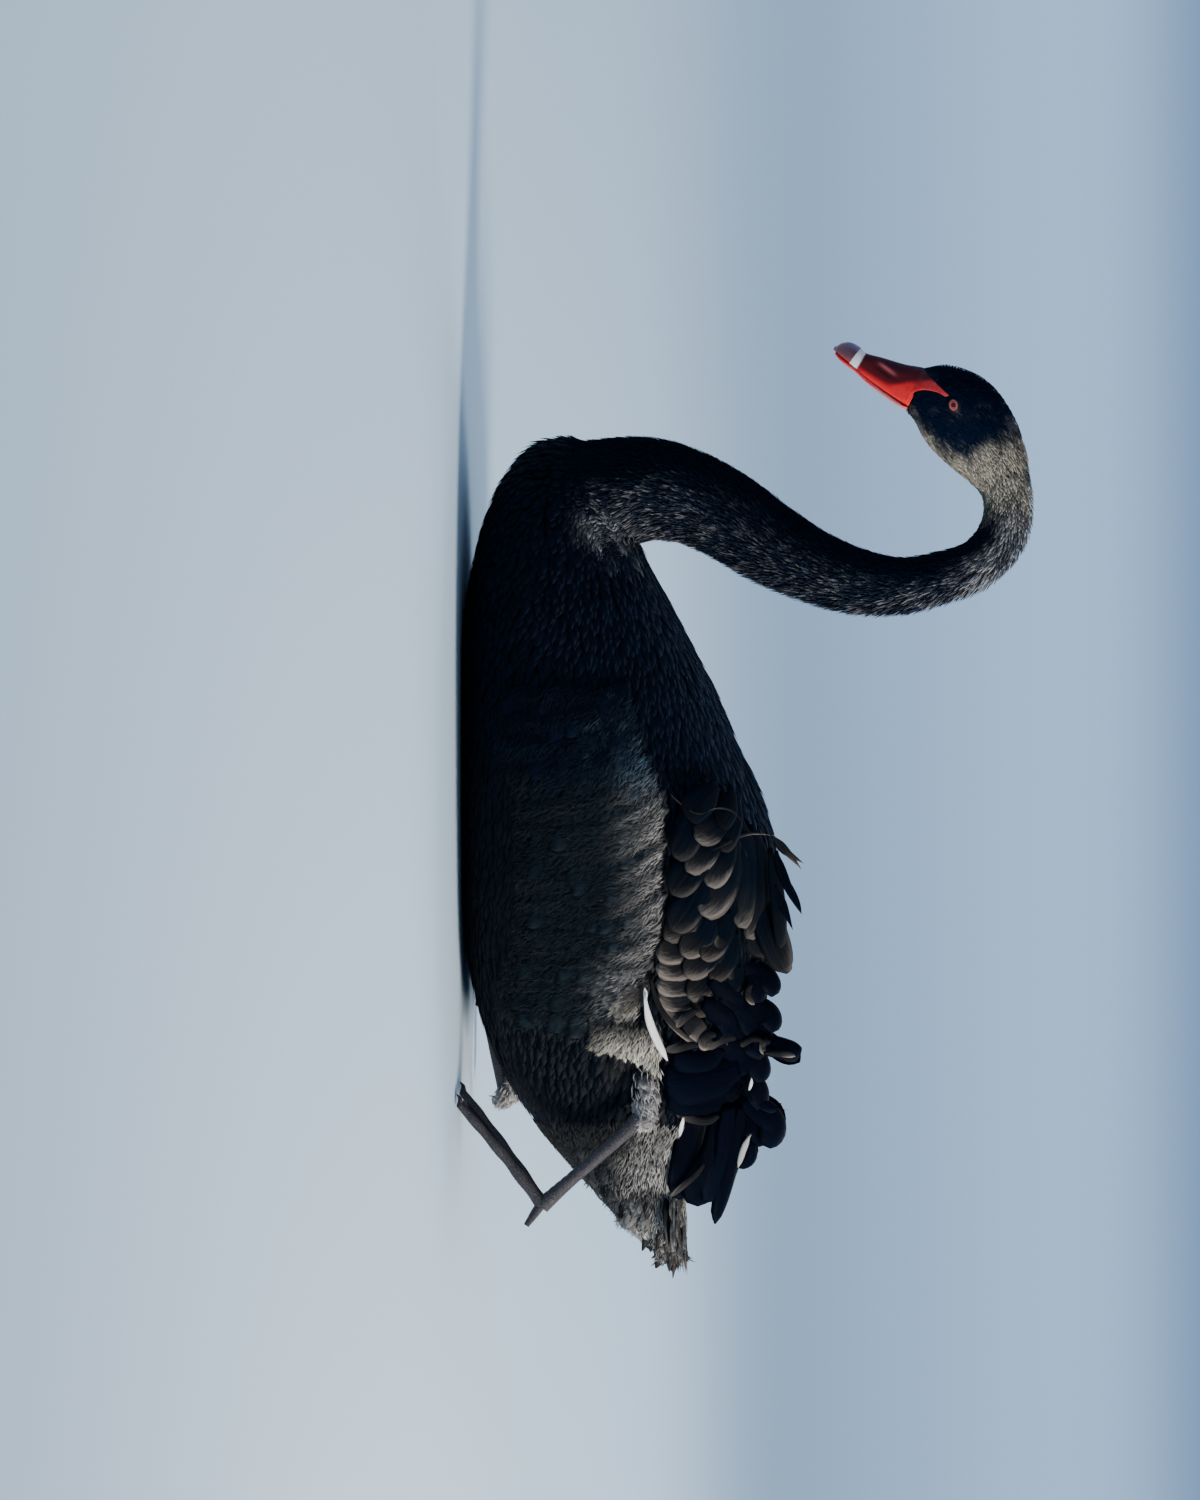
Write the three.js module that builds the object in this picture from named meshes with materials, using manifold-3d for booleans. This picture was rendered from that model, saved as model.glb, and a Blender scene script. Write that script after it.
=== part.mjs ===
// A black swan at rest on its belly, life size, as a still model for a museum.
// Millimetres. +Z is up, the bill points along -Y, and the bird's left side is +X.
// The origin is on the flat of the belly, where the bird rests.
import * as THREE from "three";
import { mergeVertices } from "three/addons/utils/BufferGeometryUtils.js";
import Module from "manifold-3d";

const wasm = await Module();
wasm.setup();

// Driving sizes
const GAP = 0.3; // between neighbouring pieces
const HALF_GAP = GAP / 2;
const CLEAR = 0.4; // how far a neighbour is grown before it is cut away
const FAR = 900; // reach of a cutting block

// The trunk, from breast to rump: [y, top, belly, half width]. The belly is trimmed flat at z = 0.
const TRUNK = [
  [-306, 88, 70, 8],
  [-302, 98, 57, 26],
  [-292, 110, 43, 45],
  [-266, 126, 24, 70],
  [-222, 139, 8, 93],
  [-160, 171, -2, 113],
  [-90, 205.5, -4, 124],
  [-10, 230.5, -4, 128.5],
  [70, 230, -2, 123],
  [140, 217, 10, 108],
  [200, 194, 36, 88],
  [240, 177, 66, 69],
  [268, 171, 91, 55],
];
const TRUNK_WAIST = 0.44; // share of the depth at which the trunk is widest
const BACK_FULLNESS = 1.85; // under 2 gives a roof-like back
const BELLY_FULLNESS = 2.4; // over 2 gives a full belly

// The neck and head follow one line: [y, z, half depth, half width].
const NECK_LINE = [
  [-258, 84, 45, 56],
  [-267, 138, 40.5, 43],
  [-260.5, 174.5, 36.5, 36],
  [-245.5, 205, 34.5, 33],
  [-223.5, 238.5, 32, 30],
  [-205, 275, 28, 27],
  [-194, 308.6, 25.4, 24.5],
  [-191.4, 342.4, 21.9, 21.5],
  [-199.2, 376.6, 20, 19.5],
  [-210.8, 401.7, 18.7, 18.5],
  [-230.5, 418, 19.5, 18.3],
  [-253.2, 422.6, 19.7, 18.7],
  [-274.1, 418.1, 21.9, 20],
  [-298, 405.4, 30.9, 22.5],
  [-321.1, 387.1, 34.6, 24.3],
  [-335.1, 369.4, 30, 21.3],
  [-344.1, 349.4, 18.1, 14.5],
];
const NECK_JOINTS = [3, 5, 7.2, 9.3, 12.3]; // places on the neck line where it is parted
const HEAD_END = 16;
const NECK_PLANE = { y: -221, z: 140, rise: 0.62 }; // the cut between neck and breast

const EYE = { y: -328.9, z: 379.9, radius: 6.6, depth: 5.1, lid: 1.15 };
const BILL = { length: 68.5, baseY: -344.1, baseZ: 349.4, lean: [-0.485, -0.875] };
// The bill: [distance from its base, culmen, cutting edge, chin, half width]
const BILL_LINE = [
  [0, 18, -14, -18, 14.2],
  [14, 13.4, -13, -17, 13.4],
  [33, 9.2, -10.4, -14.2, 12.2],
  [47, 6.6, -7.6, -10.6, 12.6],
  [54, 7.8, -6.4, -9.6, 12.4],
  [61, 7.2, -5.4, -8.6, 10],
  [66.5, 3, -4.2, -6, 6.4],
  [68.5, -0.8, -3.4, -4.6, 3],
];
const NAIL_START = 50.5;
const NOSTRIL = { along: 27, height: 1.2, length: 9, width: 3 };

// The tail's core, from the trunk's end: [y, top, underside, half width]
const TAIL_CORE = [
  [268, 171, 91, 55],
  [292, 172, 113, 45],
  [316, 172, 139, 31],
  [330, 171, 156, 20],
];
const TAIL_TIP = 348;

// A folded wing lies on the trunk between these places and angles from the midline of the back.
const WING = { front: -70, rear: 226, high: 0.01, low: 1.1 };
// The wing's thickness over the trunk: [share of its length, near the back, low on the side]
const WING_DEPTH = [
  [0, 2, 2],
  [0.12, 7, 5],
  [0.3, 17, 9],
  [0.5, 21, 11],
  [0.68, 28, 12],
  [0.84, 39, 11],
  [0.95, 31, 8],
  [1, 12, 4],
];
const COVERT_TIERS = 3;
const COVERTS_IN_TIER = 5;

// Legs. The left one trails as in the picture, the right one is folded under the flank.
const TOE_RADIUS = 4;
const TOE_CENTRE = 3.5; // height of a toe's middle where it rests, so that it has a flat
const LEFT_LEG = {
  thigh: [[66, 168, 112, 20], [80, 200, 134, 13], [88, 226, 136, 8.5]],
  shank: [[88, 223, 138, 6.5], [87, 256, 103, 5], [84, 290, 66, 6]],
  ankle: [84, 288, 66],
  toes: [74, 202, TOE_CENTRE],
  spread: 0.26,
};
const RIGHT_LEG = {
  thigh: [[-68, 150, 66, 18], [-75, 184, 44, 12], [-78, 208, 27, 8]],
  shank: [[-78, 209, 26, 6], [-80, 164, 15, 5], [-84, 118, 9, 6]],
  ankle: [-84, 120, 8],
  toes: [-98, 24, TOE_CENTRE],
  spread: 0.22,
};

const colours = {
  plumage: new THREE.MeshStandardMaterial({ color: 0x1d1c1f, roughness: 0.85 }),
  flank: new THREE.MeshStandardMaterial({ color: 0x3b342f, roughness: 0.9 }),
  neck: new THREE.MeshStandardMaterial({ color: 0x2a2725, roughness: 0.9 }),
  white: new THREE.MeshStandardMaterial({ color: 0xece9e2, roughness: 0.8 }),
  bill: new THREE.MeshStandardMaterial({ color: 0xb1241c, roughness: 0.35 }),
  nail: new THREE.MeshStandardMaterial({ color: 0x8c5a63, roughness: 0.4 }),
  eye: new THREE.MeshStandardMaterial({ color: 0x9c1c14, roughness: 0.08 }),
  leg: new THREE.MeshStandardMaterial({ color: 0x3d3a3e, roughness: 0.6 }),
};

// Small tools

// A seeded random number from -1 to 1, so that like feathers vary as real ones do.
function seeded(seed) {
  let state = seed;
  return () => {
    state = (state * 1664525 + 1013904223) % 4294967296;
    return (state / 4294967296) * 2 - 1;
  };
}

// Reads a table's columns smoothly at any place along it.
function smoothTable(rows, keyed) {
  const columns = rows[0].length;
  const slopes = rows.map((row, i) => {
    const a = rows[Math.max(0, i - 1)];
    const b = rows[Math.min(rows.length - 1, i + 1)];
    const run = keyed ? b[0] - a[0] : Math.min(rows.length - 1, i + 1) - Math.max(0, i - 1);
    return row.map((_, c) => (b[c] - a[c]) / run);
  });
  return (place) => {
    let i = 0;
    const key = (k) => (keyed ? rows[k][0] : k);
    while (i < rows.length - 2 && place > key(i + 1)) i++;
    const span = key(i + 1) - key(i);
    const t = THREE.MathUtils.clamp((place - key(i)) / span, 0, 1);
    const out = [];
    for (let c = 0; c < columns; c++) {
      const h = (t3, t2, t1, t0) => t3 * t ** 3 + t2 * t ** 2 + t1 * t + t0;
      out.push(
        h(2, -3, 0, 1) * rows[i][c] +
          h(1, -2, 1, 0) * span * slopes[i][c] +
          h(-2, 3, 0, 0) * rows[i + 1][c] +
          h(1, -1, 0, 0) * span * slopes[i + 1][c],
      );
    }
    return out;
  };
}

// A signed power, for sections that are fuller or leaner than an ellipse.
function power(value, exponent) {
  return Math.sign(value) * Math.abs(value) ** exponent;
}

// Turns a closed three.js geometry into a solid that can be joined and cut.
function solid(geometry) {
  const bare = new THREE.BufferGeometry();
  bare.setAttribute("position", geometry.getAttribute("position"));
  if (geometry.index) bare.setIndex(geometry.index);
  const merged = mergeVertices(bare, 1e-3);
  const corners = merged.attributes.position.array;
  let triangles = Array.from(merged.index.array);
  const at = (i) => new THREE.Vector3().fromArray(corners, 3 * i);
  let volume = 0;
  for (let i = 0; i < triangles.length; i += 3) {
    const [a, b, c] = triangles.slice(i, i + 3).map(at);
    volume += a.dot(b.cross(c));
  }
  if (volume < 0) triangles = triangles.reverse();
  return new wasm.Manifold(
    new wasm.Mesh({
      numProp: 3,
      vertProperties: new Float32Array(corners),
      triVerts: new Uint32Array(triangles),
    }),
  );
}

// The outer surface of the largest body, without sealed hollows or scraps.
function largest(shape) {
  const bodies = shape.decompose();
  return bodies.reduce((best, body) => (body.volume() > best.volume() ? body : best));
}

function joined(shapes) {
  return shapes.reduce((all, shape) => all.add(shape));
}

// A tube of rings from a CylinderGeometry whose points are moved by place(along, angle, radius).
function loft(around, along, place) {
  const geometry = new THREE.CylinderGeometry(1, 1, 1, around, along);
  const points = geometry.getAttribute("position");
  for (let i = 0; i < points.count; i++) {
    const [x, y, z] = [points.getX(i), points.getY(i), points.getZ(i)];
    const p = place(0.5 - y, Math.atan2(x, z), Math.hypot(x, z));
    points.setXYZ(i, p.x, p.y, p.z);
  }
  return solid(geometry);
}

// A closed plate from two like grids: place(across, along, side) gives each point, with side 1 or -1.
function plate(columns, rows, place) {
  const grid = new THREE.PlaneGeometry(1, 1, columns, rows);
  const count = grid.getAttribute("position").count;
  const points = [];
  for (const side of [1, -1]) {
    for (let r = 0; r <= rows; r++) {
      for (let c = 0; c <= columns; c++) points.push(...place(c / columns, r / rows, side).toArray());
    }
  }
  const faces = [];
  const flat = grid.index.array;
  for (let i = 0; i < flat.length; i += 3) {
    faces.push(flat[i], flat[i + 1], flat[i + 2]);
    faces.push(flat[i] + count, flat[i + 2] + count, flat[i + 1] + count);
  }
  const rim = [];
  const id = (c, r) => r * (columns + 1) + c;
  for (let c = 0; c < columns; c++) rim.push(id(c, 0));
  for (let r = 0; r < rows; r++) rim.push(id(columns, r));
  for (let c = columns; c > 0; c--) rim.push(id(c, rows));
  for (let r = rows; r > 0; r--) rim.push(id(0, r));
  rim.forEach((a, i) => {
    const b = rim[(i + 1) % rim.length];
    faces.push(a, b, a + count, b, b + count, a + count);
  });
  const geometry = new THREE.BufferGeometry();
  geometry.setAttribute("position", new THREE.Float32BufferAttribute(points, 3));
  geometry.setIndex(faces);
  return solid(geometry);
}

// A block that fills the side of a plane that its normal points to.
function halfSpace(point, normal) {
  const block = new THREE.BoxGeometry(2 * FAR, 2 * FAR, FAR);
  block.translate(0, 0, FAR / 2);
  const turn = new THREE.Quaternion().setFromUnitVectors(new THREE.Vector3(0, 0, 1), normal);
  block.applyQuaternion(turn);
  block.translate(...point.toArray());
  return solid(block);
}

// A round limb through a list of [x, y, z, radius] points.
function limb(points, around, steps, grow = 0) {
  const line = new THREE.CatmullRomCurve3(points.map((p) => new THREE.Vector3(...p.slice(0, 3))));
  const radii = smoothTable(points.map((p) => [p[3]]), false);
  const sideways = new THREE.Vector3(1, 0, 0);
  return loft(around, steps, (along, angle, radius) => {
    const tangent = line.getTangent(along);
    const up = new THREE.Vector3().crossVectors(tangent, sideways).normalize();
    const side = new THREE.Vector3().crossVectors(up, tangent);
    const r = (radii(along * (points.length - 1))[0] + grow) * radius;
    const end = along === 0 ? -grow : along === 1 ? grow : 0;
    return line
      .getPoint(along)
      .addScaledVector(side, r * Math.sin(angle))
      .addScaledVector(up, r * Math.cos(angle))
      .addScaledVector(tangent, end);
  });
}

// The trunk

const trunkAt = smoothTable(TRUNK, true);
const TRUNK_FRONT = TRUNK[0][0];
const TRUNK_REAR = TRUNK[TRUNK.length - 1][0];

// A point of the trunk's surface: angle 0 is the midline of the back, 90 degrees the left side.
function trunkPoint(y, angle, grow = 0, table = trunkAt) {
  const [, top, belly, halfWidth] = table(y);
  const waist = belly + (top - belly) * TRUNK_WAIST;
  const up = Math.cos(angle);
  const rise = up > 0 ? top + grow - waist : waist - belly + grow;
  const fullness = 2 / (up > 0 ? BACK_FULLNESS : BELLY_FULLNESS);
  return new THREE.Vector3(
    (halfWidth + grow) * power(Math.sin(angle), fullness),
    y,
    waist + rise * power(up, fullness),
  );
}

function trunkNormal(y, angle) {
  const step = 0.02;
  const along = trunkPoint(y + 2, angle).sub(trunkPoint(y - 2, angle));
  const round = trunkPoint(y, angle + step).sub(trunkPoint(y, angle - step));
  return along.cross(round).normalize().multiplyScalar(-1);
}

function trunkLoft(from, to, around, along, grow = 0, table = trunkAt) {
  return loft(around, along, (place, angle, radius) => {
    const eased = place - 0.1 * Math.sin(2 * Math.PI * place);
    const y = THREE.MathUtils.lerp(from, to, eased);
    const rim = trunkPoint(y, angle, grow, table);
    const [, top, belly] = table(y);
    return new THREE.Vector3(0, y, (top + belly) / 2).lerp(rim, radius);
  });
}

const TRUNK_SIDES = 26;
const TRUNK_RINGS = 20;
const trunkSolid = trunkLoft(TRUNK_FRONT, TRUNK_REAR, TRUNK_SIDES, TRUNK_RINGS);
const trunkGrown = trunkLoft(TRUNK_FRONT, TRUNK_REAR, TRUNK_SIDES, TRUNK_RINGS, CLEAR);

// The neck and head

const neckAt = smoothTable(NECK_LINE, false);

function neckFrame(place) {
  const [y, z, depth, width] = neckAt(place);
  const [ya, za] = neckAt(Math.max(0, place - 0.05));
  const [yb, zb] = neckAt(Math.min(HEAD_END, place + 0.05));
  const tangent = new THREE.Vector3(0, yb - ya, zb - za).normalize();
  return { centre: new THREE.Vector3(0, y, z), tangent, depth, width };
}

// The head is widest low down, at the cheeks, and the neck is evenly round.
function neckPoint(place, angle, radius) {
  const { centre, tangent, depth, width } = neckFrame(place);
  const outward = new THREE.Vector3(0, tangent.z, -tangent.y);
  const egg = 0.1 * THREE.MathUtils.smoothstep(place, 12, 14);
  const side = Math.sin(angle) * (1 - egg * Math.cos(angle));
  return centre
    .addScaledVector(outward, -depth * Math.cos(angle) * radius)
    .addScaledVector(new THREE.Vector3(1, 0, 0), width * side * radius);
}

function neckLength(from, to, around, along) {
  return loft(around, along, (place, angle, radius) =>
    neckPoint(THREE.MathUtils.lerp(from, to, place), angle, radius),
  );
}

// How far along the neck line a millimetre reaches, for the gap at a parting.
function gapStep(place) {
  return GAP / neckFrame(place).centre.distanceTo(neckFrame(place + 0.01).centre) / 100;
}

const planeNormal = new THREE.Vector3(0, -NECK_PLANE.rise, 1).normalize();
const planePoint = new THREE.Vector3(0, NECK_PLANE.y, NECK_PLANE.z);
const aboveCut = halfSpace(planePoint.clone().addScaledVector(planeNormal, HALF_GAP), planeNormal);
const fromCutUp = halfSpace(planePoint.clone().addScaledVector(planeNormal, -HALF_GAP), planeNormal);
const floorBlock = halfSpace(new THREE.Vector3(0, 0, 0), new THREE.Vector3(0, 0, -1));

const neckBase = neckLength(0, NECK_JOINTS[0], 20, 6);
const bodyWithNeck = trunkSolid.add(neckBase).subtract(floorBlock);
const torso = largest(bodyWithNeck.subtract(fromCutUp));

const necks = [largest(bodyWithNeck.intersect(aboveCut))];
for (let i = 0; i + 1 < NECK_JOINTS.length; i++) {
  const from = NECK_JOINTS[i] + gapStep(NECK_JOINTS[i]);
  necks.push(neckLength(from, NECK_JOINTS[i + 1], 16, i === 2 || i === 3 ? 5 : 4));
}

// The surface of the head beside a point of the side view.
function headSide(y, z) {
  let best = 12;
  let least = Infinity;
  for (let place = 12; place <= HEAD_END; place += 0.02) {
    const { centre, tangent } = neckFrame(place);
    const off = Math.abs((y - centre.y) * tangent.y + (z - centre.z) * tangent.z);
    if (off < least) [best, least] = [place, off];
  }
  const { centre, tangent, depth } = neckFrame(best);
  const outward = (y - centre.y) * tangent.z - (z - centre.z) * tangent.y;
  return neckPoint(best, Math.acos(THREE.MathUtils.clamp(-outward / depth, -1, 1)), 1).x;
}

const headFrom = NECK_JOINTS[NECK_JOINTS.length - 1];
let head = neckLength(headFrom + gapStep(headFrom), HEAD_END, 20, 11);
const eyes = {};
for (const side of [1, -1]) {
  const skin = headSide(EYE.y, EYE.z);
  const lid = new THREE.TorusGeometry(EYE.radius - 1.3, EYE.lid, 5, 14);
  lid.rotateY(Math.PI / 2);
  lid.translate(side * (skin - 0.35), EYE.y, EYE.z);
  const centre = [side * (skin - EYE.depth), EYE.y, EYE.z];
  const socket = new THREE.SphereGeometry(EYE.radius + GAP, 14, 10).translate(...centre);
  head = head.add(solid(lid)).subtract(solid(socket));
  eyes[side] = solid(new THREE.SphereGeometry(EYE.radius - 0.1, 14, 10).translate(...centre));
}
head = largest(head);

// The bill

const billAt = smoothTable(BILL_LINE, true);
const billAlong = new THREE.Vector3(0, ...BILL.lean).normalize();
const billUp = new THREE.Vector3(0, billAlong.z, -billAlong.y);
const billBase = new THREE.Vector3(0, BILL.baseY, BILL.baseZ);

function billPoint(along, side, up) {
  return billBase
    .clone()
    .addScaledVector(billAlong, along)
    .addScaledVector(billUp, up)
    .add(new THREE.Vector3(side, 0, 0));
}

// Half of the bill as a loft: the upper one is arched, the lower one a shallow trough.
function billHalf(from, to, upper, grow = 0) {
  return loft(14, 9, (place, angle, radius) => {
    const along = THREE.MathUtils.lerp(from, to, place);
    const [, culmen, edge, chin, halfWidth] = billAt(along);
    const low = upper ? edge + HALF_GAP : chin;
    const high = upper ? culmen : edge - HALF_GAP;
    const middle = upper ? low + (high - low) * 0.3 : high - (high - low) * 0.35;
    const rise = Math.cos(angle) > 0 ? high - middle + grow : middle - low + grow;
    const narrow = upper ? 1 : 0.86;
    const x = (halfWidth * narrow + grow) * power(Math.sin(angle), 0.8) * radius;
    return billPoint(along, x, middle + rise * power(Math.cos(angle), 0.9) * radius);
  });
}

// The bill starts on the plane of the head's last section.
const headEnd = neckFrame(HEAD_END);
const atHead = halfSpace(
  headEnd.centre.clone().addScaledVector(headEnd.tangent, GAP),
  headEnd.tangent.clone().negate(),
);
const nailBlock = (shift) =>
  halfSpace(billPoint(NAIL_START + shift, 0, 0), billAlong.clone());
const upperBill = billHalf(-8, BILL.length, true);
let billUpper = upperBill.subtract(atHead).subtract(nailBlock(0));
for (const side of [1, -1]) {
  const slit = new THREE.SphereGeometry(1, 8, 6);
  slit.scale(NOSTRIL.width, NOSTRIL.length / 2, NOSTRIL.width / 2);
  slit.rotateX(Math.atan2(billAlong.z, billAlong.y));
  const place = billPoint(NOSTRIL.along, side * billAt(NOSTRIL.along)[4] * 0.93, NOSTRIL.height);
  billUpper = billUpper.subtract(solid(slit.translate(...place.toArray())));
}
billUpper = largest(billUpper);
const billNail = largest(upperBill.intersect(nailBlock(GAP)));
const billLower = largest(billHalf(-8, BILL.length - 3, false).subtract(atHead));

// Feathers

// One vane: it starts at root, runs along dir, bends towards its face by curl and is cupped across.
function vane({ root, dir, face, length, width, curl = 0, cup = 0.1, blunt = 0.5, rows = 4, ...rest }) {
  const { thick = 1.4, grow = 0 } = rest;
  const along = dir.clone().normalize();
  const across = new THREE.Vector3().crossVectors(face, along).normalize();
  const normal = new THREE.Vector3().crossVectors(along, across).normalize();
  const steps = 24;
  const path = [new THREE.Vector2(0, 0)];
  for (let i = 1; i <= steps; i++) {
    const bend = curl * ((i - 0.5) / steps) ** 1.3;
    const last = path[i - 1];
    const step = new THREE.Vector2(Math.cos(bend), Math.sin(bend)).multiplyScalar(length / steps);
    path.push(step.add(last));
  }
  return plate(2, rows, (u, v, side) => {
    const reach = 1 - (1 - v) ** 1.35;
    const i = Math.min(steps - 1, Math.floor(reach * steps));
    const here = path[i].clone().lerp(path[i + 1], reach * steps - i);
    const heading = path[i + 1].clone().sub(path[i]).normalize();
    const s = 2 * u - 1;
    const rootWidth = 0.5 + 0.5 * THREE.MathUtils.smoothstep(reach, 0, 0.4);
    const tipWidth = 1 - (1 - blunt) * THREE.MathUtils.smoothstep(reach, 0.62, 1);
    const half = (width / 2) * rootWidth * tipWidth + grow;
    const body = (thick * (1 - 0.5 * reach) * (s === 0 ? 1 : 0.45)) / 2 + grow;
    const lift = -cup * width * s * s + side * body;
    const end = v === 1 && s !== 0 ? -width * 0.16 * (1 - blunt) * 2 : 0;
    return root
      .clone()
      .addScaledVector(along, here.x + (end + (v === 1 ? grow : 0)) * heading.x - lift * heading.y)
      .addScaledVector(normal, here.y + (end + (v === 1 ? grow : 0)) * heading.y + lift * heading.x)
      .addScaledVector(across, s * half);
  });
}

// A direction on the trunk's skin: back along the body, turned down its side by drop, and lifted off it.
function skinFrame(y, angle, drop, lift) {
  const face = trunkNormal(y, angle);
  const back = trunkPoint(y + 3, angle).sub(trunkPoint(y - 3, angle)).normalize();
  const down = new THREE.Vector3().crossVectors(back, face).normalize();
  if (down.z > 0) down.negate();
  const dir = back
    .multiplyScalar(Math.cos(drop))
    .addScaledVector(down, Math.sin(drop))
    .addScaledVector(face, Math.sin(lift))
    .normalize();
  return { face, dir };
}

// A vane rooted in a layer that stands `raise` off the trunk. A roll turns its face to the side.
function skinVane(side, y, angle, raise, drop, lift, shape, roll = 0) {
  const { face, dir } = skinFrame(y, angle, drop, lift);
  const root = trunkPoint(y, angle).addScaledVector(face, raise);
  face.applyAxisAngle(dir, roll);
  for (const v of [root, face, dir]) v.x *= side;
  return vane({ root, dir, face, ...shape });
}

const wingDepthAt = smoothTable(WING_DEPTH, true);

// How far the folded wing stands off the trunk at a height across it and a place along it.
function wingThickness(across, along) {
  const [, back, low] = wingDepthAt(THREE.MathUtils.clamp(along, 0, 1));
  const rim = THREE.MathUtils.smoothstep(1 - across, 0, 0.22);
  return 1.5 + (THREE.MathUtils.lerp(back, low, THREE.MathUtils.clamp(across, 0, 1)) - 1.5) * rim;
}

const wingRaise = (y, angle) =>
  wingThickness((angle - WING.high) / (WING.low - WING.high), (y - WING.front) / (WING.rear - WING.front));

const wingY = (along) => THREE.MathUtils.lerp(WING.front, WING.rear, along);
const wingAngle = (across) => THREE.MathUtils.lerp(WING.high, WING.low, across);

// The white flight feathers that show as a sliver between wing and flank.
function primaries(side, grow = 0) {
  const vanes = [];
  for (let i = 0; i < 3; i++) {
    const shape = { length: 112 - 9 * i, width: 15, thick: 1.8, blunt: 0.3, cup: 0.05, rows: 3, grow };
    vanes.push(skinVane(side, 78 + 7 * i, 1.22 - 0.06 * i, 1.6 + 1.3 * i, -0.08 - 0.03 * i, 0, shape));
  }
  return largest(joined(vanes).subtract(trunkGrown));
}

function wing(side) {
  const random = seeded(side > 0 ? 7 : 19);
  const parts = [];
  parts.push(
    plate(5, 7, (across, along, face) => {
      const raise = face > 0 ? wingThickness(across, along) : -5;
      const round = 26 * (2 * across - 0.7) ** 2 * (1 - along);
      const p = trunkPoint(wingY(along) + round, wingAngle(across), raise);
      return p.setX(side * p.x);
    }),
  );
  // Coverts: tiers of rounded feathers, larger towards the back
  for (let tier = 0; tier < COVERT_TIERS; tier++) {
    for (let i = 0; i < COVERTS_IN_TIER; i++) {
      const height = (i + (tier % 2) * 0.5) / COVERTS_IN_TIER;
      const y = -44 + 42 * tier + 42 * height + 3 * random();
      const angle = 1.02 - 0.76 * height;
      const shape = { length: 46 + 10 * height, width: 30 + 6 * height, cup: 0.09, blunt: 0.62, rows: 2 };
      const drop = 0.16 - 0.2 * height + 0.04 * random();
      parts.push(skinVane(side, y, angle, wingRaise(y, angle) - 2, drop, 0.14, shape));
    }
  }
  // Long feathers of the folded arm, lying back along the side
  for (let i = 0; i < 5; i++) {
    const shape = { length: 98 - 4 * i, width: 34, curl: -0.1, cup: 0.12, blunt: 0.72, rows: 3 };
    const [y, angle] = [116 + 20 * i, 1.04 - 0.09 * i];
    parts.push(skinVane(side, y, angle, wingRaise(y, angle) - 2, 0.04 + 0.03 * random(), 0.16, shape));
  }
  // Curled inner feathers, which stand up from the back and bend over
  for (let i = 0; i < 6; i++) {
    const y = 92 + 22 * i + 4 * random();
    const angle = 0.34 + 0.32 * (i % 2) + 0.05 * random();
    const [length, width] = [74 + 8 * random(), 42 + 4 * random()];
    const shape = { length, width, curl: 1.0 + 0.5 * random(), cup: 0.24, blunt: 0.6, rows: 4 };
    parts.push(skinVane(side, y, angle, wingRaise(y, angle) - 3, -0.12 + 0.1 * random(), 0.26, shape, 0.85));
  }
  // The last straight feather over the tail, and a loose tip in front
  const straight = { length: 98, width: 26, curl: -0.25, cup: 0.14, blunt: 0.75, rows: 3 };
  parts.push(skinVane(side, 204, 0.5, 14, 0.02, 0.3, straight, 0.2));
  const loose = { length: 50, width: 14, curl: 0.1, cup: 0.1, blunt: 0.4, rows: 2 };
  parts.push(skinVane(side, -14, 0.32, 8, 0, 0.42, loose, 0.3));
  const clearOfMidline = halfSpace(new THREE.Vector3(side * HALF_GAP, 0, 0), new THREE.Vector3(side, 0, 0));
  return largest(
    joined(parts)
      .subtract(trunkGrown)
      .subtract(primaries(side, CLEAR))
      .subtract(tailGrown)
      .subtract(thighs[side].grown)
      .intersect(clearOfMidline),
  );
}

// The tail

const tailAt = smoothTable(TAIL_CORE, true);

function tail(grow = 0) {
  const random = seeded(5);
  const from = TRUNK_REAR + GAP - grow;
  const to = TAIL_CORE[TAIL_CORE.length - 1][0];
  const parts = [trunkLoft(from, to, 16, 4, grow, tailAt)];
  const up = new THREE.Vector3(0, 0, 1);
  // Tail feathers: a fan whose outer feathers lie under the middle ones
  for (let i = -4; i <= 4; i++) {
    const yaw = 0.09 * i;
    const root = new THREE.Vector3(5.4 * i, 292 - 1.5 * Math.abs(i), 168 - 1.8 * Math.abs(i));
    const dir = new THREE.Vector3(Math.sin(yaw), Math.cos(yaw), 0.03 - 0.012 * Math.abs(i));
    const length = TAIL_TIP - 292 - 1.6 * Math.abs(i);
    parts.push(vane({ root, dir, face: up, length, width: 20, blunt: 0.42, cup: 0.07, rows: 2, grow }));
  }
  // Coverts over and under it
  for (let tier = 0; tier < 3; tier++) {
    const over = tier === 0;
    for (let i = 0; i < 4; i++) {
      const y = over ? 274 : 274 + 18 * (tier - 1);
      const angle = (over ? 0 : Math.PI) + 0.46 * (i - 1.5) + 0.08 * random();
      const root = trunkPoint(y, angle, -1.2, tailAt);
      const dir = trunkPoint(y + 6, angle, -1.2, tailAt).sub(root).normalize();
      const face = root.clone().sub(new THREE.Vector3(0, y, over ? 120 : 150)).setY(0).normalize();
      dir.addScaledVector(face, over ? 0.06 : 0.16);
      const length = over ? 46 : 36 + 3 * random();
      parts.push(vane({ root, dir, face, length, width: 26, blunt: 0.55, rows: 2, grow }));
    }
  }
  if (grow > 0) return joined(parts);
  const behindTrunk = halfSpace(new THREE.Vector3(0, from, 0), new THREE.Vector3(0, 1, 0));
  return largest(joined(parts).intersect(behindTrunk));
}

const tailGrown = tail(CLEAR);

// Legs and feet

const thighs = {};
for (const [side, leg] of [[1, LEFT_LEG], [-1, RIGHT_LEG]]) {
  thighs[side] = {
    shape: largest(limb(leg.thigh, 12, 5).subtract(trunkGrown)),
    grown: limb(leg.thigh, 12, 5, CLEAR),
  };
}

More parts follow.
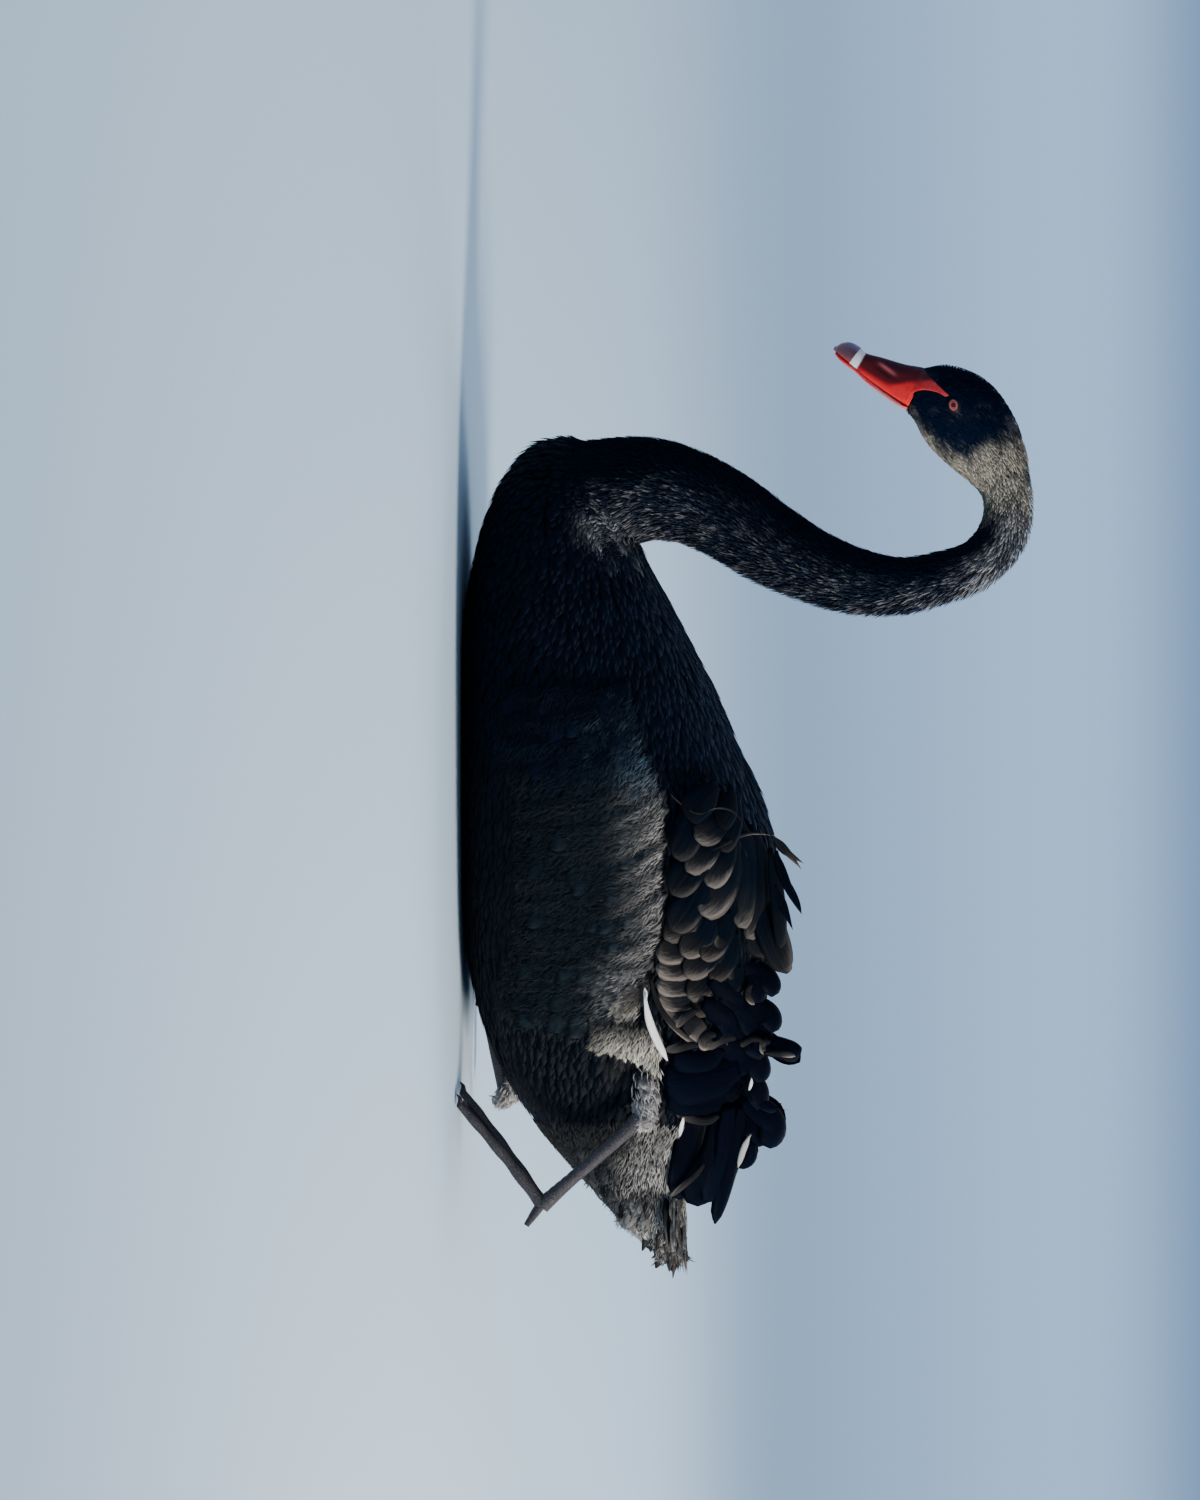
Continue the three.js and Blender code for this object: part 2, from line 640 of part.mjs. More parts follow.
function shank(leg, side) {
  return largest(limb(leg.shank, 10, 5).subtract(thighs[side].grown));
}

// A webbed foot: three toes from the ankle, the web between them, and a small hind toe.
function foot(leg) {
  const ankle = new THREE.Vector3(...leg.ankle);
  const reach = new THREE.Vector3(...leg.toes).sub(ankle);
  const across = new THREE.Vector3(1, 0, 0);
  const tips = [-1, 0, 1].map((i) => {
    const shorter = i === 0 ? 1 : 0.9;
    const tip = ankle.clone().addScaledVector(reach, shorter);
    tip.addScaledVector(across, i * reach.length() * leg.spread);
    return tip.setZ(TOE_CENTRE);
  });
  const parts = tips.map((tip) => {
    const middle = ankle.clone().lerp(tip, 0.55);
    middle.z = Math.max(TOE_CENTRE, middle.z + 1.5);
    const toe = [[...ankle.toArray(), 6], [...middle.toArray(), 4.4], [...tip.toArray(), TOE_RADIUS - 0.4]];
    return limb(toe, 8, 5);
  });
  const web = plate(4, 4, (u, v, side) => {
    const from = u < 0.5 ? 0 : 1;
    const edge = tips[from].clone().lerp(tips[from + 1], u * 2 - from);
    const scallop = 1 - 0.09 * (1 - (4 * u - 2 * from - 1) ** 2);
    const p = ankle.clone().lerp(edge, 0.08 + (0.96 * scallop - 0.08) * v);
    p.z = Math.max(p.z, TOE_CENTRE) - 0.6 + 0.9 * side;
    return p;
  });
  parts.push(web);
  const back = reach.clone().multiplyScalar(-0.2);
  const hind = ankle.clone().add(back).setZ(Math.max(TOE_CENTRE, ankle.z - 12));
  const knuckle = ankle.clone().lerp(hind, 0.5);
  const claw = [[...ankle.toArray(), 4], [...knuckle.toArray(), 3.4], [...hind.toArray(), 2.4]];
  parts.push(limb(claw, 8, 2));
  const grownShank = limb(leg.shank, 10, 5, CLEAR);
  return largest(joined(parts).subtract(grownShank).subtract(trunkGrown).subtract(floorBlock));
}

const group = new THREE.Group();

function add(name, shape, material) {
  const mesh = shape.getMesh();
  const n = mesh.numProp;
  const points = new Float32Array(mesh.numVert * 3);
  for (let i = 0; i < mesh.numVert; i++) {
    points.set(mesh.vertProperties.subarray(i * n, i * n + 3), i * 3);
  }
  const geometry = new THREE.BufferGeometry();
  geometry.setAttribute("position", new THREE.BufferAttribute(points, 3));
  geometry.setIndex(new THREE.BufferAttribute(mesh.triVerts, 1));
  const piece = new THREE.Mesh(geometry, material);
  piece.name = name;
  group.add(piece);
}

add("torso", torso, colours.plumage);
necks.forEach((shape, i) => add(`neck_${i + 1}`, shape, colours.neck));
add("head", head, colours.neck);
add("eye_left", eyes[1], colours.eye);
add("eye_right", eyes[-1], colours.eye);
add("bill_upper", billUpper, colours.bill);
add("bill_lower", billLower, colours.bill);
add("bill_nail", billNail, colours.nail);
for (const [side, name] of [[1, "left"], [-1, "right"]]) {
  const leg = side > 0 ? LEFT_LEG : RIGHT_LEG;
  add(`wing_${name}`, wing(side), colours.plumage);
  add(`primaries_${name}`, primaries(side), colours.white);
  add(`thigh_${name}`, thighs[side].shape, colours.flank);
  add(`shank_${name}`, shank(leg, side), colours.leg);
  add(`foot_${name}`, foot(leg), colours.leg);
}
add("tail", tail(), colours.flank);

export default group;
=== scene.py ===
# %% [markdown]
# # A black swan, feather by feather
# The bird rests on its belly with its neck in an S. Its solids come from the CAD frame, and this lesson
# dresses them: one skin over the flesh, a coat of feathers on it, a waxy bill, wet eyes and scaled feet.
# All lengths are written in millimetres and turned into metres when a mesh is made.

# %% Load the frame
import math

import bmesh
import bpy
import numpy as np
from mathutils import Matrix, Vector, noise
from mathutils.bvhtree import BVHTree


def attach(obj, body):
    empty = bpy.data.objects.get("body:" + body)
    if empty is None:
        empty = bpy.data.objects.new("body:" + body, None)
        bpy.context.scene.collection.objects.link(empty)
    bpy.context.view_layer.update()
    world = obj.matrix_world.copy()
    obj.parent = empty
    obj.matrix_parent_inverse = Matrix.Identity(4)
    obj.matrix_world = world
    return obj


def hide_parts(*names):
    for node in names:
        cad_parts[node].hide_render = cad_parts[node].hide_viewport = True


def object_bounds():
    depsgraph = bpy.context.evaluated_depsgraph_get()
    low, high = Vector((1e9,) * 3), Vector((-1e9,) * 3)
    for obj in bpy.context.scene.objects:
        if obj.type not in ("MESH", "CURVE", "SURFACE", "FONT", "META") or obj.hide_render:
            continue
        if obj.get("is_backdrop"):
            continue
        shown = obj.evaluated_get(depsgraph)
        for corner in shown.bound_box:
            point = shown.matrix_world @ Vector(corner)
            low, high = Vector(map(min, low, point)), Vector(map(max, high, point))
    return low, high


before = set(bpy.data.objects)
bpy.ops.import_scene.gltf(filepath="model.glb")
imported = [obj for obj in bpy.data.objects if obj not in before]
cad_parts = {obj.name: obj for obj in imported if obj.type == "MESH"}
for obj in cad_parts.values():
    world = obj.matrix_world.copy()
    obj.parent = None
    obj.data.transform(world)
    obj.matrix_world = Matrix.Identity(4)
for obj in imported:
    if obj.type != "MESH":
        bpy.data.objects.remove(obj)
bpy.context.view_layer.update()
MM = 0.001
scene = bpy.context.scene

# %% [markdown]
# ## Camera and studio
# The photo lies on its side, so the camera is rolled a quarter turn: the bird's up is the picture's right.
# A long lens keeps the side view flat. The floor is a wide pale bowl, which hides any horizon from every
# side. A large soft lamp lights the bird from behind and above, where the sun stood, and weaker ones
# light its front and the far floor.

# %% Camera
REACH = 9.0  # from the camera to the bird, in metres
TILT = math.radians(4)
VIEW_Y, VIEW_Z = -62.4, 105.2  # what the camera looks at
HALF_SENSOR = 18  # of the long side, in millimetres of film
HALF_VIEW = 0.585  # what that side takes in at the bird, in metres
camera_data = bpy.data.cameras.new("camera")
camera_data.lens = HALF_SENSOR * REACH / HALF_VIEW
camera_data.clip_end = 60
camera = bpy.data.objects.new("camera", camera_data)
scene.collection.objects.link(camera)
back = Vector((math.cos(TILT), 0, math.sin(TILT)))
picture_right = Vector((-math.sin(TILT), 0, math.cos(TILT)))
picture_up = Vector((0, -1, 0))
turn = Matrix((picture_right, picture_up, back)).transposed()
middle = Vector((0, VIEW_Y * MM, VIEW_Z * MM))
camera.matrix_world = Matrix.Translation(middle + back * REACH) @ turn.to_4x4()
scene.camera = camera
print("camera", [round(v, 3) for v in camera.location], "lens", round(camera_data.lens))


# %% Floor
def new_object(name, bm):
    """Turns a bmesh into an object at the origin."""
    mesh = bpy.data.meshes.new(name)
    bm.to_mesh(mesh)
    bm.free()
    made = bpy.data.objects.new(name, mesh)
    scene.collection.objects.link(made)
    return made


def feed(node, inputs):
    """Gives each socket named in inputs a value, or the output that feeds it."""
    for socket, value in inputs.items():
        if isinstance(value, bpy.types.NodeSocket):
            node.id_data.links.new(value, node.inputs[socket])
        else:
            node.inputs[socket].default_value = value


def add_node(tree, kind, inputs=None, **settings):
    """A shader node with its settings and what its sockets get."""
    node = tree.nodes.new("ShaderNode" + kind)
    for name, value in settings.items():
        setattr(node, name, value)
    feed(node, inputs or {})
    return node


def new_material(name):
    """A material with its node tree and its shader."""
    material = bpy.data.materials.new(name)
    material.use_nodes = True
    return material, material.node_tree, material.node_tree.nodes["Principled BSDF"]


BOWL = [(0, 0), (6, 0), (32, 0), (34, 0.5), (35, 2), (35.3, 6), (35.3, 14)]  # radius and height, in metres
PAPER_NEAR, PAPER_FAR = (0.455, 0.595, 0.725, 1), (0.60, 0.765, 0.93, 1)
bm = bmesh.new()
corners = [bm.verts.new((x, 0, z)) for x, z in BOWL]
for a, b in zip(corners, corners[1:]):
    bm.edges.new((a, b))
profile = bm.verts[:] + bm.edges[:]
bmesh.ops.spin(bm, geom=profile, cent=(0, 0, 0), axis=(0, 0, 1), angle=math.tau, steps=64, use_merge=True)
bmesh.ops.remove_doubles(bm, verts=bm.verts[:], dist=1e-5)
bmesh.ops.recalc_face_normals(bm, faces=bm.faces[:])
for face in bm.faces:
    face.smooth = True
floor = new_object("studio_floor", bm)
floor_paint, tree, shader = new_material("studio_paper")
place = add_node(tree, "TexCoord").outputs["Object"]
distance = add_node(tree, "VectorMath", {0: place}, operation="LENGTH").outputs["Value"]
# paler far off, where the lamps reach less
fade = add_node(tree, "MapRange", {"Value": distance, "From Min": 1.0, "From Max": 7.0}).outputs[0]
paler = add_node(tree, "Mix", {0: fade, 6: PAPER_NEAR, 7: PAPER_FAR}, data_type="RGBA")
feed(shader, {"Base Color": paler.outputs[2], "Roughness": 0.9})
floor.data.materials.append(floor_paint)
floor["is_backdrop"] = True
print("floor faces:", len(floor.data.polygons))


# %% Lamps
def lamp(name, place, size, power, colour, target=(0, 0, 0.2)):
    """A square area lamp that looks at the bird, or at another place."""
    data = bpy.data.lights.new(name, "AREA")
    data.size, data.energy, data.color = size, power, colour
    made = bpy.data.objects.new(name, data)
    scene.collection.objects.link(made)
    made.location = place
    made.rotation_euler = (Vector(target) - Vector(place)).to_track_quat("-Z", "Y").to_euler()


lamp("key", (1.1, 3.0, 1.9), 0.9, 250, (1.0, 0.92, 0.82))
lamp("fill", (3.2, -1.6, 1.8), 2.6, 16, (0.86, 0.92, 1.0))
lamp("rim", (-2.2, 1.2, 2.2), 1.6, 50, (0.95, 0.97, 1.0))
lamp("backdrop", (-16, 0, 11), 16, 1300, (0.78, 0.89, 1.0), (-17, 0, 0))
world = bpy.data.worlds.new("sky")
world.use_nodes = True
feed(world.node_tree.nodes["Background"], {"Color": (0.55, 0.74, 1.0, 1), "Strength": 0.5})
scene.world = world
print("lamps:", [light.name for light in bpy.data.lights])

# %% [markdown]
# ## The bird's measures
# Short tables give the trunk and the neck, as they do in the solids. A table is read smoothly between
# its rows, so a few measures make a whole form, and the skin can be drawn a coat's depth inside them.

# %% Tables
TRUNK = [  # y, top, belly, half width
    (-306, 88, 70, 8), (-302, 98, 57, 26), (-292, 110, 43, 45), (-266, 126, 24, 70), (-222, 139, 8, 93),
    (-160, 171, -2, 113), (-90, 205.5, -4, 124), (-10, 230.5, -4, 128.5), (70, 230, -2, 123),
    (140, 217, 10, 108), (200, 194, 36, 88), (240, 177, 66, 69), (268, 171, 91, 55), (292, 172, 113, 45),
    (316, 172, 139, 31), (330, 171, 156, 20),
]
NECK = [  # y, z, half depth, half width
    (-258, 84, 45, 56), (-267, 138, 40.5, 43), (-260.5, 174.5, 36.5, 36), (-245.5, 205, 34.5, 33),
    (-223.5, 238.5, 32, 30), (-205, 275, 28, 27), (-194, 308.6, 25.4, 24.5), (-191.4, 342.4, 21.9, 21.5),
    (-199.2, 376.6, 20, 19.5), (-210.8, 401.7, 18.7, 18.5), (-230.5, 418, 19.5, 18.3),
    (-253.2, 422.6, 19.7, 18.7), (-274.1, 418.1, 21.9, 20), (-298, 405.4, 30.9, 22.5),
    (-321.1, 387.1, 34.6, 24.3), (-335.1, 369.4, 30, 21.3), (-344.1, 349.4, 18.1, 14.5),
]
WING = [  # share of its length, lift at the back, lift low on the side
    (0, 0, 0), (0.12, 5, 3), (0.3, 12, 6), (0.5, 15, 7), (0.68, 18, 7), (0.84, 24, 6), (0.95, 20, 4),
    (1.06, 0, 0),
]
WING_FRONT, WING_REAR, WING_LOW = -70, 226, 1.1
HEAD_END = 16


def table_reader(rows, keyed=True):
    """Reads the columns of a table smoothly at an array of places."""
    rows = np.array(rows, float)
    keys = rows[:, 0] if keyed else np.arange(len(rows), dtype=float)
    last = len(rows) - 1
    low, high = np.clip(np.arange(last + 1) - 1, 0, last), np.clip(np.arange(last + 1) + 1, 0, last)
    slopes = (rows[high] - rows[low]) / (keys[high] - keys[low])[:, None]

    def read(place):
        place = np.atleast_1d(np.asarray(place, float))
        i = np.clip(np.searchsorted(keys, place, side="right") - 1, 0, last - 1)
        span = (keys[i + 1] - keys[i])[:, None]
        t = np.clip((place - keys[i])[:, None] / span, 0, 1)
        return (
            (2 * t**3 - 3 * t**2 + 1) * rows[i]
            + (t**3 - 2 * t**2 + t) * span * slopes[i]
            + (3 * t**2 - 2 * t**3) * rows[i + 1]
            + (t**3 - t**2) * span * slopes[i + 1]
        ).T

    return read


trunk_at, neck_at, wing_at = table_reader(TRUNK), table_reader(NECK, False), table_reader(WING)


def power(value, exponent):
    """A power that keeps the sign."""
    return np.sign(value) * np.abs(value) ** exponent


def step(low, high, value):
    """0 below low, 1 above high and smooth between. It falls where low is the larger of the two."""
    t = np.clip((value - low) / (high - low), 0, 1)
    return t * t * (3 - 2 * t)


def unit(vectors):
    """The same directions with a length of 1."""
    return vectors / np.maximum(np.linalg.norm(vectors, axis=-1, keepdims=True), 1e-9)


def trunk_point(y, angle, grow=0.0):
    """A point of the trunk. Angle 0 is the midline of the back, a quarter turn is the left side."""
    y, top, belly, half = trunk_at(y)
    waist = belly + (top - belly) * 0.44
    up = np.cos(angle)
    full = np.where(up > 0, 2 / 1.85, 2 / 2.4)
    rise = np.where(up > 0, top - waist, waist - belly) + grow
    return np.stack([(half + grow) * power(np.sin(angle), full), y, waist + rise * power(up, full)], axis=-1)


def wing_lift(y, angle):
    """How far the folded wing stands off the trunk."""
    side = np.abs((np.asarray(angle) + math.pi) % math.tau - math.pi)
    _, high, low = wing_at((np.asarray(y) - WING_FRONT) / (WING_REAR - WING_FRONT))
    across = np.clip(side / WING_LOW, 0, 1)
    return (high + (low - high) * across) * step(1.0, 0.75, across)


def neck_frame(place):
    """Middle, direction, half depth and half width of the neck at some places along it."""
    place = np.atleast_1d(np.asarray(place, float))
    y, z, depth, width = neck_at(place)
    ya, za = neck_at(np.maximum(place - 0.05, 0))[:2]
    yb, zb = neck_at(np.minimum(place + 0.05, HEAD_END))[:2]
    nothing = np.zeros_like(y)
    return np.stack([nothing, y, z], -1), unit(np.stack([nothing, yb - ya, zb - za], -1)), depth, width


def neck_point(place, angle, grow=0.0):
    """A point of the neck or head. Angle 0 is the throat side, half a turn the back of the neck."""
    place = np.atleast_1d(np.asarray(place, float))
    centre, along, depth, width = neck_frame(place)
    outward = np.stack([0 * depth, along[:, 2], -along[:, 1]], -1)
    egg = 0.1 * step(12, 14, place)
    side = np.sin(angle) * (1 - egg * np.cos(angle))
    sideways = np.array([1.0, 0, 0])
    depthways = outward * (-(depth + grow) * np.cos(angle))[:, None]
    return centre + depthways + sideways * ((width + grow) * side)[:, None]


print("trunk at its widest", trunk_point([-10], np.array([math.pi / 2])).round(1))

# %% [markdown]
# ## The skin
# Under the feathers a swan is one smooth body, so one skin covers trunk, neck, head, rump and thighs. Lofts
# are laid a coat's depth inside the solids, joined by a voxel remesh, and smoothed where they meet.
# The remesh is chosen because it needs no hand-made seams between a neck and a breast.

# %% Lofts
def tube(bm, around, along, place):
    """Adds a closed loft: a grid rolled up by place(share along, angle)."""
    grid = bmesh.ops.create_grid(bm, x_segments=along, y_segments=around, size=0.5)["verts"]
    share = np.array([v.co.x + 0.5 for v in grid])
    angle = np.array([(v.co.y + 0.5) * math.tau for v in grid])
    for vertex, p in zip(grid, place(share, angle) * MM):
        vertex.co = p
    bmesh.ops.remove_doubles(bm, verts=grid, dist=1e-6)
    rims = [e for e in bm.edges if e.is_boundary]
    bmesh.ops.holes_fill(bm, edges=rims, sides=0)


def limb_point(line, share, angle, grow=0.0):
    """A point of a round limb through a few [x, y, z, radius] places."""
    line_at, last = table_reader(line, False), len(line) - 1
    x, y, z, radius = line_at(share * last)
    ahead = line_at(np.clip(share * last + 0.05, 0, last))[:3].T
    behind = line_at(np.clip(share * last - 0.05, 0, last))[:3].T
    along = unit(ahead - behind)
    up = unit(np.cross(along, np.array([1.0, 0, 0])))
    side = np.cross(up, along)
    turn = np.sin(angle)[:, None] * side + np.cos(angle)[:, None] * up
    return np.stack([x, y, z], -1) + turn * (radius + grow)[:, None]


LEFT_THIGH = [(60, 160, 118, 19), (76, 190, 140, 14), (86, 214, 146, 9.5), (88, 225, 143, 6.5)]
RIGHT_THIGH = [(-62, 146, 66, 18), (-75, 184, 44, 12), (-78, 208, 27, 8), (-78, 213, 25, 5)]

TRUNK_COAT, NECK_COAT, THIGH_COAT = 3.4, 1.6, 2  # how deep the coat lies on each
SKIN_FRONT, SKIN_REAR = -305, 329
SKIN_VOXEL = 0.0026


def trunk_under_coat(share, angle):
    """The trunk's skin, with its sections closer together at both ends."""
    y = SKIN_FRONT + (SKIN_REAR - SKIN_FRONT) * (share - 0.1 * np.sin(math.tau * share))
    return trunk_point(y, angle, -TRUNK_COAT + wing_lift(y, angle))


bm = bmesh.new()
tube(bm, 72, 90, trunk_under_coat)
tube(bm, 48, 120, lambda s, a: neck_point(HEAD_END * s, a, -NECK_COAT + 0.5 * step(11, 13, HEAD_END * s)))
for thigh in (LEFT_THIGH, RIGHT_THIGH):
    tube(bm, 20, 16, lambda s, a, line=thigh: limb_point(line, s, a, -THIGH_COAT))
bmesh.ops.triangulate(bm, faces=bm.faces[:])
bmesh.ops.recalc_face_normals(bm, faces=bm.faces[:])
lofts = new_object("skin_lofts", bm)
remesh = lofts.modifiers.new("one", "REMESH")
remesh.mode, remesh.voxel_size, remesh.use_smooth_shade = "VOXEL", SKIN_VOXEL, True
smooth = lofts.modifiers.new("soft", "SMOOTH")
smooth.factor, smooth.iterations = 0.5, 9
print("loft faces:", len(lofts.data.polygons))


# %% Finish the skin
def baked(source, name):
    """A copy of an object with its modifiers applied."""
    graph = bpy.context.evaluated_depsgraph_get()
    mesh = bpy.data.meshes.new_from_object(source.evaluated_get(graph))
    bpy.data.objects.remove(source)
    made = bpy.data.objects.new(name, mesh)
    mesh.name = name
    scene.collection.objects.link(made)
    return made


def read_vectors(mesh, name):
    """The places or normals of all points of a mesh as an array."""
    values = np.zeros(len(mesh.vertices) * 3)
    mesh.vertices.foreach_get(name, values)
    return values.reshape(-1, 3)


def tree_of(mesh):
    """A search tree of a mesh, in millimetres."""
    corners = [tuple(p.vertices) for p in mesh.polygons]
    return BVHTree.FromPolygons([v.co / MM for v in mesh.vertices], corners)


skin = baked(lofts, "skin")
EYE_Y, EYE_Z = -330.1, 381.8
HOLLOW_REACH, HOLLOW_DEPTH = 8.5, 2.2
spots = read_vectors(skin.data, "co") / MM
from_eye = np.hypot(spots[:, 1] - EYE_Y, spots[:, 2] - EYE_Z)
hollow = np.clip(1 - (from_eye / HOLLOW_REACH) ** 2, 0, 1) * (np.abs(spots[:, 0]) > 8)
spots[:, 0] -= np.sign(spots[:, 0]) * HOLLOW_DEPTH * hollow
spots[:, 2] = np.maximum(spots[:, 2], 1.0)
skin.data.vertices.foreach_set("co", (spots * MM).ravel())
skin.data.update()
skin_tree = tree_of(skin.data)
print("skin faces:", len(skin.data.polygons))


BESIDE, NEAR_MIDDLE = 400.0, 40.0  # how far from the bird's middle a search starts


def side_spot(side, y, z):
    """Where a line from the bird's side at that y and z meets the skin, and the normal there."""
    spot, normal, _, _ = skin_tree.ray_cast(Vector((side * BESIDE, y, z)), Vector((-side, 0, 0)))
    if spot is None:
        spot, normal, _, _ = skin_tree.find_nearest(Vector((side * NEAR_MIDDLE, y, z)))
    return np.array(spot), np.array(normal)


# %% [markdown]
# ## Markings
# A black swan isn't flat black. The mantle is blue-black, the neck is mottled with grey wear, the nape
# behind the dark head is pale, and the flank and rump are grey-brown. Painted light and shade go into these
# colours too: painted light on the outer side of the neck and along the top of the back, painted shade
# inside the neck's bend, low down and under the rump. One function gives the colour of any place, and
# both the skin and the coat read it, so they can't differ.

# %% Colours by place
INK = np.array([0.0014, 0.0042, 0.0110])
SOOT = np.array([0.0035, 0.0060, 0.0115])
WORN_AND_LIT_GREY = np.array([0.27, 0.265, 0.265])
NAPE = np.array([0.39, 0.350, 0.270])
ASH = np.array([0.060, 0.052, 0.045])


def mottle(points, size, shift=0.0):
    """Smooth noise from -1 to 1 with spots of about that size in millimetres."""
    return np.array([noise.noise(Vector(p) / size + Vector((shift, 0, 0))) for p in points])


def blob(points, y, z, reach_y, reach_z):
    """A soft round spot in the side view: 1 at its middle and 0 far from it."""
    return np.exp(-(((points[:, 1] - y) / reach_y) ** 2) - ((points[:, 2] - z) / reach_z) ** 2)


def mix(a, b, amount):
    """Colours between a and b, one for each amount."""
    return a + (b - a) * np.asarray(amount)[:, None]


HOOD_EDGE = table_reader([
    (330, -345), (345, -337), (352, -325), (360, -312), (370, -302), (380, -296), (392, -294), (400, -298),
    (408, -304), (418, -307), (445, -308),
])


def neck_colour(points, normals):
    """Painted shade in the bend, painted light and grey wear in clumps outside it, pale all round behind the
    dark head.
    """
    y, z = points[:, 1], points[:, 2]
    fine = mottle(points, 2.2, 4.0)
    clumps = mottle(points, 5.0) + 0.75 * fine + 0.5 * mottle(points, 14.0, 9.0)
    # painted light on the side facing the key lamp, where the grey wear shows; painted shade on the inner
    # side
    sunny = step(-0.30, 0.42, normals @ np.array([0, 0.86, 0.5]))
    patchy = 0.30 + 0.12 * step(250, 380, z) + 0.18 * step(200, 150, z)
    wear_and_painted_light = sunny * (0.02 + patchy * step(-0.15, 0.8, clumps))
    # painted light on the upward face of the loop under the head, with grey wear in it
    loop = step(372, 400, z) * step(-275, -240, y) * step(-0.5, 0.4, normals @ np.array([0, 0.5, 0.86]))
    wear_and_painted_light = np.maximum(wear_and_painted_light, loop * (0.10 + 0.62 * step(-0.5, 0.7, clumps)))
    # painted light on the rear-facing side of the neck's base, with grey wear in it
    base = blob(points, -239, 119, 13, 27) * step(-0.95, -0.3, normals @ np.array([0, 1.0, 0.1]))
    base *= step(-214, -228, y)
    wear_and_painted_light = np.maximum(wear_and_painted_light, base * (0.08 + 0.70 * step(-0.7, 0.7, clumps)))
    past = y - HOOD_EDGE(z)[1] + 6 * mottle(points, 8.0, 2.0) + 5 * fine
    nape = step(-9, 14, past) * step(-232, -268, y) * step(335, 356, z)
    nape *= 0.20 + 0.30 * blob(points, -285, 402, 15, 14) + 0.52 * step(-0.9, 0.9, clumps) + 0.22 * fine
    crown_strip = 1 - 0.92 * blob(points, -280, 440, 12, 7.5)
    nape *= crown_strip * (1 - 0.75 * step(-308, -322, y) * step(368, 354, z))
    hood = step(8, -10, past) * step(330, 350, z)
    cheek = 0.50 * blob(points, -325, 384.5, 4.5, 5) + 0.34 * blob(points, -322, 427, 11, 5)
    cheek += 0.045 * step(0.2, 0.9, clumps)
    wear_and_painted_light = np.clip(wear_and_painted_light * crown_strip * (1 - hood) + hood * cheek * (0.4 + clumps), 0, 1)
    nape = np.clip(nape * (1 - hood), 0, 1)
    # the blue-black is painted lighter on the side facing the key lamp
    ink = INK * (1 + hood[:, None] * [-0.35, 0.30, 0.60]) * (1 + 0.7 * sunny * (1 - hood))[:, None]
    return mix(mix(ink, WORN_AND_LIT_GREY, wear_and_painted_light), NAPE, nape)


FLANK_TOP = table_reader([
    (-125, 120), (-105, 140), (-68, 149), (-30, 164), (0, 166), (80, 163), (107, 153), (125, 148),
    (150, 148), (167, 151), (202, 161), (232, 162), (260, 167), (300, 170), (348, 173),
])
SLOPE = math.tan(TILT)


def as_seen(y, z, x):
    """The true y and z of a place that the picture shows at y and z, when it lies x millimetres nearer."""
    nearer = 1 - np.abs(x) / (1000 * REACH)
    return VIEW_Y + (y - VIEW_Y) * nearer, VIEW_Z + (z - VIEW_Z) * nearer + np.abs(x) * SLOPE


def flank_folds(points):
    """The flank hangs in soft folds, about from -1 in a hollow to 1 on a crest."""
    y, z = points[:, 1], points[:, 2] - np.abs(points[:, 0]) * SLOPE
    drop = np.clip(156 - z, 0, 60)
    rear = step(60, 130, y)
    hang = (0.85 * drop - 0.006 * drop**2) * (1 - rear) + (0.7 * drop - 0.016 * drop**2) * rear
    along = y - hang
    uneven = mottle(np.stack([0 * y, along / 10, z / 70], -1), 1.0)
    waves = (0.3 + 0.45 * rear) * np.cos(math.tau * (along - 136) / (21 - 7 * rear))
    return (1.5 - 0.6 * rear) * uneven + waves


def flank_light(points):
    """How pale the flank is at a place: bright under the wing, dark towards the water and the breast."""
    y, z = points[:, 1], points[:, 2] - np.abs(points[:, 0]) * SLOPE
    z = z + 22 * step(80, 118, y)
    fade = 0.03 + 0.74 * step(97, 150, z) ** 1.5
    front = 0.20 + 0.80 * step(-84, -14, y - 0.3 * (z - 130))
    start = step(-116, -84, y + 12 * mottle(points, 14.0, 5.0))
    specks = 0.26 * step(0.15, 0.6, mottle(points, 7.0, 1.0)) * step(-30, -60, y) * step(80, 100, z)
    # painted light and shade: paler on the crests of the folds and darker in their hollows
    light = fade * front * (0.82 + 0.95 * flank_folds(points) + 0.35 * mottle(points, 6.0)) + specks
    return np.clip(light, 0.02, 1.5) * start


def body_colour(points, normals):
    """Blue-black with a painted highlight along the back, grey wear on the flank and the rump, painted shade
    low down.
    """
    fine, coarse = mottle(points, 6.0), mottle(points, 22.0, 5.0)
    y, z = points[:, 1], points[:, 2]
    top = FLANK_TOP(y)[1]
    flank = step(4, -10, z - top) * step(-100, -30, y)
    rear = step(225, 265, y) * step(182, 172, z)
    wear_and_painted_light = np.clip(np.maximum(flank, rear) * (0.45 + 0.3 * coarse + 0.2 * fine), 0, 1)
    base = mix(np.tile(INK, (len(points), 1)), SOOT, step(-40, 60, y))
    # painted highlight where the back faces up, from the neck to the middle
    ridge = step(0.60, 0.98, normals[:, 2]) * step(-240, -200, y) * step(40, -20, y)
    base = base * (1 + (0.7 * np.array([0.5, 0.9, 1.2]) * (ridge * (0.8 + 0.4 * fine))[:, None]))
    # painted shade: darker low down towards the floor and in the hollow under the rump
    wear_and_painted_light = wear_and_painted_light * (1 - 0.85 * step(140, 112, z)) * (1 - 0.9 * blob(points, 204, 130, 30, 20))
    return mix(base, ASH, wear_and_painted_light)


def over_joint(points):
    """How high a place lies over the slanting line where the neck joins the body."""
    return points[:, 2] - 140 - 0.62 * (points[:, 1] + 221)


def is_neck(points):
    """True where a place belongs to the neck and head rather than to the trunk."""
    return (over_joint(points) > 0) & (points[:, 1] < -140)


